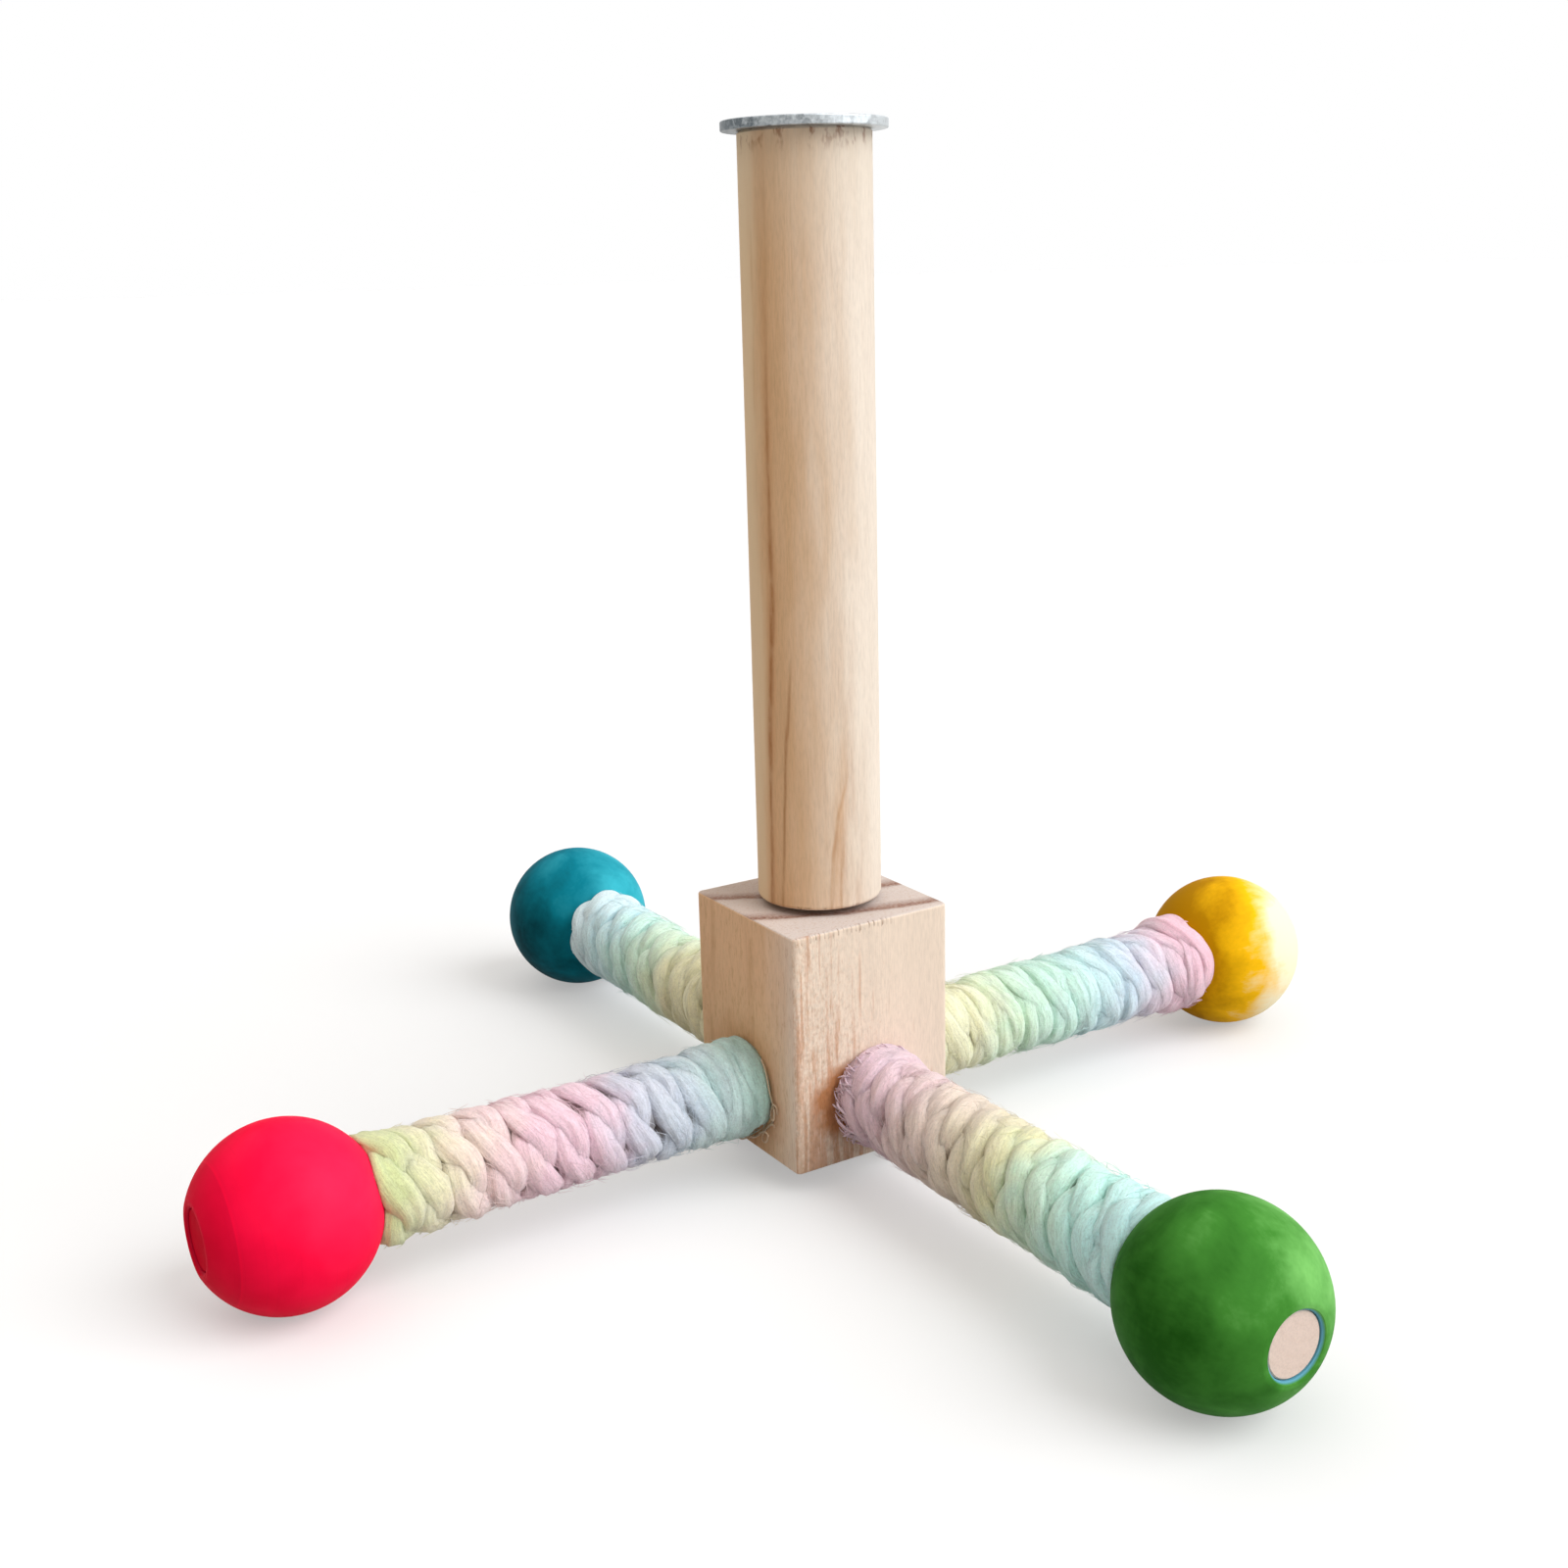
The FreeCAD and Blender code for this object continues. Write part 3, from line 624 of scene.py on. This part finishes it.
def ply(arm, which):
    """One ply of an arm's rope: places along, out and round for every point, with a row of points per step,
    and the rope's length up to each row."""
    rng = np.random.default_rng(ARMS[arm]["seed"])
    style = ROPE_STYLE[arm]
    angle = np.linspace(0.0, TURN * ROPE_TURNS, STEPS_PER_TURN * ROPE_TURNS + 1)
    turns = angle / TURN
    share = angle / angle[-1]
    length = angle * math.hypot(HELIX_RADIUS, ROPE_PITCH / TURN)
    # Random curves that both plies share come first, so that they stay together
    sway = wander(rng, length, 64.0, 0.30)
    rise = wander(rng, length, 41.0, 0.16)
    twist = wander(rng, length, 90.0, 0.55)
    own = np.random.default_rng(ARMS[arm]["seed"] + 7 + which)
    swell = 1.0 + wander(own, length, 19.0, 0.09)
    cuff = smooth((style["cuff"] - turns) / 0.9 + 0.5)
    fat = 1.0 + (style["fat"] - 1.0) * smooth((share - 0.80) / 0.14)
    ends = smooth(length / END_LENGTH) * smooth((length[-1] - length) / END_LENGTH)
    # Place of the ply across the rope: it turns about the rope's middle
    phase = -TURN * length / style["lay"] + math.pi * which + twist
    turn_out = np.sin(phase)
    over = turn_out**2
    side = PLY_APART * (1.0 - 0.8 * cuff) * np.cos(phase) * fat
    lift = style["relief"] * (1.0 - 0.9 * cuff) * turn_out * fat
    width = PLY_WIDTH + CROSSING_WIDER * over + UNDER_WIDER * over * (1.0 - turn_out) / 2
    width = width * (1.0 - cuff) + CUFF_WIDTH * cuff
    height = (PLY_HEIGHT - CROSSING_LOWER * over) * (1.0 - cuff) + CUFF_HEIGHT * cuff
    size = swell * fat * (0.3 + 0.7 * ends)
    centre = style["inner"] + (style["outer"] - style["inner"]) * share
    centre = centre + rise + 0.5 * cuff - 1.3 * (1.0 - ends)
    centre = centre + style["flare"] * smooth((1.3 - turns) / 1.1) * ends
    centre = centre + style["skirt"] * smooth((turns - ROPE_TURNS + 1.7) / 1.1) * ends
    # The first and last turns lie flat against the block and the bead
    slope = 0.08 + 0.92 * smooth(turns / 1.1 - 0.1) * smooth((ROPE_TURNS - turns) / 1.3 - 0.15)
    run = np.concatenate([[0.0], np.cumsum(slope[:-1])])
    middle = ROPE_START + (ROPE_END - ROPE_START) * run / run[-1] + sway * ends
    # Round the ply, with strands that stand out a little
    spin = np.arange(ROUND_PLY) * TURN / ROUND_PLY
    strands = np.zeros((len(angle), ROUND_PLY))
    for lobes, depth in STRANDS:
        roll = wander(own, length, 30.0, 0.6) + own.uniform(0.0, TURN) - lobes * length / STRAND_TWIST
        strands += depth * np.cos(lobes * spin[None, :] + roll[:, None])
    across = side[:, None] + (width * size)[:, None] * np.cos(spin) * (1.0 + strands)
    out = lift[:, None] + (height * size)[:, None] * np.sin(spin) * (1.0 + strands)
    along = middle[:, None] + across * math.cos(HELIX_LEAN)
    along, radius = seat(along, centre[:, None] + out)
    around = angle[:, None] - across * math.sin(HELIX_LEAN) / radius
    return along, radius, around, length


def tube_piece(name, rows, columns, points, fibre, bake, crest):
    """A piece of closed tubes, each of rows by columns of points. The two maps have a value for each corner
    of a tube's faces, and crest one for each point."""
    base = np.arange(rows * columns).reshape(rows, columns)
    after = np.roll(base, -1, axis=1)
    quads = np.stack([base[:-1], after[:-1], after[1:], base[1:]], axis=-1).reshape(-1, 4)
    starts = [k * rows * columns for k in range(len(points))]
    faces = np.concatenate([quads + start for start in starts]).tolist()
    faces += [[*(base[0][::-1] + start)] for start in starts]
    faces += [[*(base[-1] + start)] for start in starts]
    mesh = bpy.data.meshes.new(name)
    mesh.from_pydata(np.concatenate(points).reshape(-1, 3).tolist(), [], faces)
    for title, parts in (("fibre", fibre), ("OFBake", bake)):
        corners = np.concatenate(parts)
        layer = mesh.uv_layers.new(name=title)
        flat = np.zeros((len(mesh.loops), 2), np.float32)
        flat[: len(corners)] = corners
        layer.data.foreach_set("uv", flat.ravel())
    shade = mesh.attributes.new("crest", "FLOAT", "POINT")
    shade.data.foreach_set("value", np.concatenate(crest).ravel().astype(np.float32))
    mesh.polygons.foreach_set("use_smooth", [True] * len(mesh.polygons))
    mesh.update()
    piece = bpy.data.objects.new(name, mesh)
    bpy.context.scene.collection.objects.link(piece)
    return piece


def corner_values(rows, columns, row_values, column_values):
    """Map corners for the faces of one tube, in the order tube_piece makes them."""
    r0, r1 = row_values[:-1, None], row_values[1:, None]
    c0, c1 = column_values[None, :-1], column_values[None, 1:]
    shape = (rows - 1, columns)
    corners = []
    for pair in ((c0, r0), (c1, r0), (c1, r1), (c0, r1)):
        corners.append(np.stack([np.broadcast_to(value, shape) for value in pair], -1))
    return np.stack(corners, 2).reshape(-1, 2)


# crest goes from 0 to 1 between a distance from the arm's line and a span beyond it; where it is low the
# cotton paints shade into the grooves
CREST_LOW = 6.8
CREST_SPAN = 3.2
# The fibre map: the way round a ply, and how far the second ply's map is from the first's, round and along
PLY_ROUND = 12.5
PLY_SHIFT_ROUND = 40.0
PLY_SHIFT_ALONG = 700.0
# The bake map: strips of one turn each, in columns, with margins
BAKE_COLUMNS = 3
BAKE_ROWS = 2 * ROPE_TURNS // BAKE_COLUMNS
BAKE_MARGIN_U = 0.01
BAKE_MARGIN_V = 0.03


def rope(arm):
    """The rope of one arm as a single piece of two plies."""
    points, fibre, bake, crest = [], [], [], []
    for which in (0, 1):
        along, radius, around, length = ply(arm, which)
        rows, columns = along.shape
        points.append(turned(along, radius, around, arm).reshape(-1, 3))
        crest.append(smooth((radius - CREST_LOW) / CREST_SPAN).reshape(-1))
        round_ply = np.linspace(0.0, 1.0, columns + 1)
        round_mm = np.linspace(0.0, PLY_ROUND, columns + 1) + PLY_SHIFT_ROUND * which
        fibre.append(corner_values(rows, columns, length + PLY_SHIFT_ALONG * which, round_mm))
        corners = corner_values(rows, columns, np.arange(rows, dtype=float), round_ply)
        turn = np.repeat(np.arange(rows - 1), columns * 4) // STEPS_PER_TURN
        strip = turn + which * ROPE_TURNS
        u = BAKE_MARGIN_U + (1.0 - 2 * BAKE_MARGIN_U) * (corners[:, 1] / STEPS_PER_TURN - turn)
        v = BAKE_MARGIN_V + (1.0 - 2 * BAKE_MARGIN_V) * corners[:, 0]
        u = (strip % BAKE_COLUMNS + u) / BAKE_COLUMNS
        v = (strip // BAKE_COLUMNS + v) / BAKE_ROWS
        bake.append(np.stack([u, v], axis=-1))
    return tube_piece(f"rope_{arm}", rows, columns, points, fibre, bake, crest)


# Fibres and threads

# A direction that a tube's own is crossed with
TUBE_SIDEWAYS = (0.31, 0.22, 0.92)
# The fibre map's distance between one line and the next, and the margin in the bake map's cells
LINE_SHIFT = 9.0
CELL_MARGIN = 0.1
HAIR_ROWS = 6
HAIR_SIDES = 3
HAIR_TAPER = np.array([0.6, 1.0, 1.0, 0.9, 0.7, 0.25])
HAIR_LENGTHS = (2.5, 8.0)
HAIR_RADII = (0.03, 0.07)
# Steps of the ply next to the block and next to the bead that have no hairs
HAIRLESS_START = 60
HAIRLESS_END = 80
# The least distance from the arm's line at which hairs lie, and how much it varies
HAIR_LOW = 8.6
HAIR_VARIES = 0.8
TUFT_ROWS = 16
TUFT_SIDES = 6
TUFT_RADII = (0.12, 0.30)
TUFT_LENGTH = 6.0
THREAD_ROWS = 40
THREAD_RADIUS = 0.20
THREAD_LENGTH = 20.0


def tube(middle, thick, sides):
    """Points of a thin tube round a line of points; thick is its radius at each of them."""
    run = np.gradient(middle, axis=0)
    run /= np.linalg.norm(run, axis=1, keepdims=True)
    first = np.cross(run, TUBE_SIDEWAYS)
    first /= np.linalg.norm(first, axis=1, keepdims=True)
    second = np.cross(run, first)
    spin = np.arange(sides) * TURN / sides
    ring = first[:, None] * np.cos(spin)[None, :, None] + second[:, None] * np.sin(spin)[None, :, None]
    return (middle[:, None] + ring * thick[:, None, None]).reshape(-1, 3)


def fibre_piece(name, lines, sides=HAIR_SIDES):
    """A piece of many thin tubes. Each line is its points, its radius at each point and its length."""
    points, fibre, bake = [], [], []
    rows = len(lines[0][0])
    share = np.linspace(0.0, 1.0, rows)
    columns = np.linspace(0.0, 1.0, sides + 1)
    inside = 1.0 - 2 * CELL_MARGIN
    cells = math.ceil(math.sqrt(len(lines)))
    for number, (middle, thick, long) in enumerate(lines):
        points.append(tube(middle, thick * MM, sides))
        round_mm = TURN * thick.max() * columns
        fibre.append(corner_values(rows, sides, share * long + LINE_SHIFT * number, round_mm + number))
        corners = corner_values(rows, sides, CELL_MARGIN + inside * share, CELL_MARGIN + inside * columns)
        bake.append((corners + (number % cells, number // cells)) / cells)
    crest = [np.ones(rows * sides)] * len(lines)
    return tube_piece(name, rows, sides, points, fibre, bake, crest)


def walked(steps, long):
    """How far each point of a hair is from its root in one direction, from its steps in that direction."""
    return np.concatenate([[0.0], np.cumsum(steps[:-1])]) * long / (HAIR_ROWS - 1)


def fuzz(arm):
    """Loose fibres that lie over the rope of one arm, some with an end that stands out."""
    rng = np.random.default_rng(ARMS[arm]["seed"] + 100)
    plies = [np.stack(ply(arm, which)[:3], axis=-1) for which in (0, 1)]
    share = np.linspace(0.0, 1.0, HAIR_ROWS)
    lines = []
    for _ in range(ROPE_STYLE[arm]["hairs"]):
        shape = plies[rng.integers(2)]
        row = rng.integers(HAIRLESS_START, shape.shape[0] - HAIRLESS_END)
        column = rng.integers(shape.shape[1] // 2)
        along, radius, around = shape[row, column]
        long = rng.uniform(*HAIR_LENGTHS)
        aim = rng.normal(0.36, 0.45) + math.pi * rng.integers(2) + rng.normal(0.0, 0.9) * share
        x = along + walked(np.sin(aim), long)
        reach = walked(np.cos(aim), long)
        # The fibre leaves the ply, lies over its neighbours and may lift at its end
        out = np.minimum(share * 4, 1.0)
        r = radius + np.maximum(HAIR_LOW + HAIR_VARIES * rng.random() - radius, 0.0) * out
        r = r + abs(rng.normal(0.0, 0.45)) * share**2 + 0.08 * np.sin(math.pi * share)
        x, r = seat(x, r)
        thick = rng.uniform(*HAIR_RADII) * HAIR_TAPER
        lines.append((turned(x, r, around + reach / 10.0, arm), thick, long))
    return fibre_piece(f"rope_fuzz_{arm}", lines)


# Teased rope ends: seed, number, the places along the arm between which they begin and end, and their least
# distance from its line and how much they flare
TUFTS = {
    "front": (144, 210, (21.5, 25.5), (18.9, 20.6), 8.9, 2.0),
    "right": (233, 190, (93.0, 96.0), (99.0, 101.0), 9.3, 1.5),
    "back": (377, 170, (93.0, 96.0), (98.5, 100.0), 9.0, 1.0),
}


def tufts(arm):
    """The cut end of an arm's rope, teased out into tufts that flare against the block or the bead."""
    seed, number, start, stop, low, flare = TUFTS[arm]
    rng = np.random.default_rng(seed)
    t = np.linspace(0.0, 1.0, TUFT_ROWS)
    lines = []
    for one in range(number):
        around = TURN * one / number + rng.normal(0.0, 0.10) + rng.normal(0.0, 0.32) * t
        x = rng.uniform(*start) * (1.0 - t) + rng.uniform(*stop) * t
        r = low + rng.uniform(0.1 * flare, flare) * smooth(t * 1.1)
        r = r + 0.25 * np.sin(4.0 * t + rng.uniform(0.0, TURN))
        thick = rng.uniform(*TUFT_RADII) * np.sin(math.pi * (0.10 + 0.84 * t)) ** 0.6
        lines.append((turned(*seat(x, r), around, arm), thick, TUFT_LENGTH))
    return fibre_piece(f"rope_tuft_{arm}", lines, TUFT_SIDES)


def loose_threads():
    """Beige thread ends at the block end of the left arm: a thread round the rim, two curls, a tail and a
    small knot. Each path gives places along, out from and round the arm's line."""
    t = np.linspace(0.0, 1.0, THREAD_ROWS)
    thick = np.full(THREAD_ROWS, THREAD_RADIUS)
    rim = (19.1 + 0.4 * np.sin(9.0 * t), 10.3 + 0.3 * np.sin(15.0 * t) + 0.4 * t, math.pi * (0.78 - 0.75 * t))
    curl = (18.9 + 0.7 * t, 11.1 + 0.9 * np.cos(7.0 * t), math.pi * 0.44 + 0.16 * np.sin(7.0 * t))
    wave = 8.0 * t + 1.0
    open_curl = (18.9 + 1.2 * t, 11.5 + 1.1 * np.cos(wave), math.pi * 0.30 + 0.20 * np.sin(wave) - 0.25 * t)
    tail = (19.4 + 0.9 * t, 10.0 + 1.9 * t + 0.25 * np.sin(9.0 * t), math.pi * (0.20 - 0.24 * t))
    knot_out = 10.7 + 0.45 * np.cos(19.0 * t)
    knot = (19.6 + 0.45 * np.sin(14.0 * t), knot_out, math.pi * 0.05 + 0.05 * np.sin(17.0 * t))
    paths = (rim, curl, open_curl, tail, knot)
    return fibre_piece("loose_thread_left", [(turned(*path, "left"), thick, THREAD_LENGTH) for path in paths])


def dress(piece, look):
    """Gives a piece of an arm's rope its material and body."""
    piece.data.materials.append(look)
    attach(piece, "hub_body")


rope_looks = {}
for arm in ARMS:
    style = ROPE_STYLE[arm]
    way = ARMS[arm]["way"]
    rope_looks[arm] = cotton(f"rope_{arm}", way, ROPE_DYES[arm], ROPE_GLOW, style["groove_shade"], style["felt"])
    fibre_look = cotton(f"rope_fibre_{arm}", way, ROPE_DYES[arm], FIBRE_GLOW)
    winding = rope(arm)
    dress(winding, rope_looks[arm])
    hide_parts(f"rope_wrap_{arm}")
    # The fibres cast no shadow on the rope
    fibres = fuzz(arm)
    dress(fibres, fibre_look)
    fibres.visible_shadow = False

THREAD_DYES = ((0.0, "#e6c09c"), (1.0, "#f0d6ba"))
beige = cotton("thread_beige", ARMS["left"]["way"], THREAD_DYES, THREAD_GLOW)
dress(loose_threads(), beige)
for arm in TUFTS:
    dress(tufts(arm), rope_looks[arm])


# Materials of the CAD nodes

POST_RINGS = {
    "pith": (5.6, 39.6, 0.0), "lean": (0.0, 0.0129, 0.0), "spacing": 4.5, "phase": 0.70,
    "peak": 45.85, "swing": 1.15, "loose": 0.45, "last": 90.0,
}
POST_TONES = {
    "heart_and_shade": "#dcb48a", "sap_and_light": "#e6d9ca", "cut": "#d9cfc6",
    "way": (0.84, -0.54, 0.0), "low": -8.0, "high": 11.0,
}
BLOCK_RINGS = {
    "pith": (28.8, 73.7, 0.0), "lean": (0.0, 0.01, 0.0), "spacing": 13.1, "phase": 0.068,
    "peak": 0.0, "swing": 0.0, "loose": 3.4, "last": 100.0,
}
BLOCK_TONES = {
    "heart_and_shade": "#e4bd95", "sap_and_light": "#e5d3c1", "cut": "#cfc4bf",
    "way": (0.6, -0.8, 0.0), "low": -8.0, "high": 7.0,
}
DOWEL_RINGS = {
    "lean": (0.0, 0.0, 0.0), "spacing": 2.4, "phase": 0.2,
    "peak": 24.0, "swing": 0.3, "loose": 0.6, "last": 60.0,
}
DOWEL_TONES = {
    "heart_and_shade": "#d6c4b4", "sap_and_light": "#dccdc0", "cut": "#dac5b9",
    "way": UP, "low": 10.0, "high": 25.0,
}
RED_STAIN = "#e0002c"
BEADS = {
    "right": {
        "name": "bead_yellow", "stain": ("#b88200", "#fabf10", "#fdf0cb"), "mottling": 0.60, "turning": 0.20,
        "rim": "#d9b56a", "lit_side_lift": 0.40, "lit_side_way": (0.85, -0.53, -0.05), "grainy": 0.15,
    },
    "back": {
        "name": "bead_blue", "stain": ("#013c46", "#077a8d", "#38aebf"), "mottling": 0.5, "turning": 0.35,
        "rim": "#3f8f9a", "lit_side_lift": 0.18,
    },
    "left": {
        "name": "bead_red", "stain": ("#d60029", "#f50a3d", "#fb2450"), "mottling": 0.30, "turning": 0.3,
        "rim": "#c00a30", "lit_side_lift": 0.20, "shoulder": 12.0,
    },
    "front": {
        "name": "bead_green", "stain": ("#1d5411", "#40832f", "#76ba62"), "mottling": 0.62, "turning": 0.10,
        "rim": "#5f9fb4", "lit_side_lift": 0.17, "lit_side_way": (0.80, -0.50, 0.33), "grainy": 0.12,
    },
}


def dowel(name, axis, pith, marks=None):
    """A dowel's pine, whose rings hardly show."""
    return pine(name, {**DOWEL_RINGS, "pith": pith}, DOWEL_TONES, axis, side=0.07, end=0.02, marks=marks)


NODE_LOOKS = {
    "post": pine("pine_post", POST_RINGS, POST_TONES, side=0.30, marks=post_marks),
    "hub_block": pine("pine_block", BLOCK_RINGS, BLOCK_TONES, side=0.35, end=1.0, marks=block_marks),
    "top_washer": metal("zinc_washer", "#5c6367", "#ccd1d3", 0.8, 0.42),
    "top_insert": metal("zinc_insert", "#8d8670", "#c6c0a8", 0.5, 0.32),
    "pivot_screw": metal("steel_screw", "#8b8a86", "#c9c8c4", 0.6, 0.30),
    "pivot_head_washer": metal("steel_washer", "#85868a", "#c6c7c8", 0.5, 0.32),
    "pivot_spacer": nylon("spacer_nylon"),
    "arm_dowel_right": dowel("pine_dowel_x", (1, 0, 0), (0.0, 3.0, 24.0)),
    "arm_dowel_back": dowel("pine_dowel_y", (0, 1, 0), (3.0, 0.0, 24.0)),
    "arm_dowel_left": dowel("pine_dowel_red", (1, 0, 0), (0.0, 3.0, 24.0), dyed_end(RED_STAIN)),
}
NODE_LOOKS["arm_dowel_front"] = NODE_LOOKS["arm_dowel_back"]
for arm, values in BEADS.items():
    NODE_LOOKS[f"end_bead_{arm}"] = bead(way=ARMS[arm]["way"], **values)
for name, material in NODE_LOOKS.items():
    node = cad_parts[name]
    node.data.materials.clear()
    node.data.materials.append(material)


# Floor, light and camera. The lamps' and the floor's sizes are in metres.

FLOOR_SIZE = 40.0
FLOOR_SHADE = (0.53, 0.53, 0.53, 1.0)
# Light that the floor adds where it is seen, so that it looks almost white
FLOOR_LIFT = 0.38
ROOM_COLOUR = (1.0, 0.88, 0.74, 1.0)
ROOM_LEVEL = 0.30
WHITE = (1.0, 1.0, 1.0, 1.0)
LAMP_AIM = (0.0, 0.0, 0.07)


def empty_tree(owner):
    """The node tree of a material or world, with nothing in it."""
    owner.use_nodes = True
    owner.node_tree.nodes.clear()
    return owner.node_tree


def studio_white(tree, target):
    """Gives an input 1 for rays that show the surroundings: to the camera, mirrored or through glass."""
    path = tree.nodes.new("ShaderNodeLightPath")
    total = path.outputs["Is Camera Ray"]
    for kind in ("Is Glossy Ray", "Is Transmission Ray"):
        larger = tree.nodes.new("ShaderNodeMath")
        larger.operation = "MAXIMUM"
        tree.links.new(total, larger.inputs[0])
        tree.links.new(path.outputs[kind], larger.inputs[1])
        total = larger.outputs[0]
    tree.links.new(total, target)


bpy.ops.mesh.primitive_plane_add(size=FLOOR_SIZE)
floor = bpy.context.object
floor.name = "floor"
paper = bpy.data.materials.new("floor_white")
tree = empty_tree(paper)
flat = fill(tree.nodes.new("ShaderNodeBsdfDiffuse"), {"Color": FLOOR_SHADE})
glow = tree.nodes.new("ShaderNodeEmission")
shows = tree.nodes.new("ShaderNodeMath")
shows.operation = "MULTIPLY"
shows.inputs[1].default_value = FLOOR_LIFT
studio_white(tree, shows.inputs[0])
tree.links.new(shows.outputs[0], glow.inputs["Strength"])
joined = tree.nodes.new("ShaderNodeAddShader")
tree.links.new(flat.outputs[0], joined.inputs[0])
tree.links.new(glow.outputs[0], joined.inputs[1])
paper_out = tree.nodes.new("ShaderNodeOutputMaterial")
tree.links.new(joined.outputs[0], paper_out.inputs["Surface"])
floor.data.materials.append(paper)

world = bpy.data.worlds.new("studio")
bpy.context.scene.world = world
tree = empty_tree(world)
room = fill(tree.nodes.new("ShaderNodeBackground"), {"Color": ROOM_COLOUR, "Strength": ROOM_LEVEL})
white = fill(tree.nodes.new("ShaderNodeBackground"), {"Color": WHITE})
choose = tree.nodes.new("ShaderNodeMixShader")
studio_white(tree, choose.inputs[0])
tree.links.new(room.outputs[0], choose.inputs[1])
tree.links.new(white.outputs[0], choose.inputs[2])
world_out = tree.nodes.new("ShaderNodeOutputWorld")
tree.links.new(choose.outputs[0], world_out.inputs["Surface"])


def area_light(name, way, far, size, level, colour):
    """A square lamp that looks at the part from a direction; level is the light on a facing surface."""
    way = np.array(way) / np.linalg.norm(way)
    lamp = bpy.data.lights.new(name, "AREA")
    lamp.shape = "SQUARE"
    lamp.size = size
    lamp.energy = level * math.pi**2 * far**2
    lamp.color = colour
    holder = bpy.data.objects.new(name, lamp)
    bpy.context.scene.collection.objects.link(holder)
    side = np.cross(UP, way)
    side /= np.linalg.norm(side)
    up = np.cross(way, side)
    place = np.array(LAMP_AIM) + way * far
    holder.matrix_world = Matrix([[side[i], up[i], way[i], place[i]] for i in range(3)] + [[0, 0, 0, 1]])


def far_light(name, way, level, colour, spread):
    """A very wide lamp far away in a direction; level is the light on a facing surface."""
    lamp = bpy.data.lights.new(name, "SUN")
    lamp.energy = level * math.pi
    lamp.color = colour
    lamp.angle = math.radians(spread)
    holder = bpy.data.objects.new(name, lamp)
    bpy.context.scene.collection.objects.link(holder)
    holder.rotation_mode = "QUATERNION"
    holder.rotation_quaternion = Vector(way).to_track_quat("Z", "Y")


area_light("fill", way=(-0.9, -0.25, 0.35), far=1.6, size=1.2, level=0.05, colour=(1.0, 0.93, 0.85))
far_light("key", way=(0.42, -0.62, 0.60), level=1.0, colour=(0.98, 1.0, 1.03), spread=55.0)
far_light("above", way=(-0.10, 0.25, 1.0), level=0.36, colour=(1.0, 1.0, 1.0), spread=80.0)

# Camera fitted to the photograph: eye, direction and focal length in pixels of the 1600-pixel frame
FRAME_PIXELS = 1600.0
SENSOR = 36.0
FOCAL_PIXELS = 1932.2
CLIP_START = 0.01
EYE = (-199.81, -307.21, 178.87)
AZIMUTH, DOWN, ROLL = (math.radians(v) for v in (-31.986, 15.378, -1.456))
level_way = (-math.sin(AZIMUTH) * math.cos(DOWN), math.cos(AZIMUTH) * math.cos(DOWN))
look_way = np.array([*level_way, -math.sin(DOWN)])
level_right = np.cross(look_way, UP)
level_right /= np.linalg.norm(level_right)
level_up = np.cross(level_right, look_way)
camera_right = math.cos(ROLL) * level_right + math.sin(ROLL) * level_up
camera_up = math.cos(ROLL) * level_up - math.sin(ROLL) * level_right
lens = bpy.data.cameras.new("camera")
lens.sensor_width = SENSOR
lens.lens = SENSOR * FOCAL_PIXELS / FRAME_PIXELS
lens.clip_start = CLIP_START
camera = bpy.data.objects.new("camera", lens)
bpy.context.scene.collection.objects.link(camera)
camera.matrix_world = Matrix(
    [[camera_right[i], camera_up[i], -look_way[i], EYE[i] * MM] for i in range(3)] + [[0, 0, 0, 1]]
)
bpy.context.scene.camera = camera
bpy.context.scene.view_settings.view_transform = "Standard"
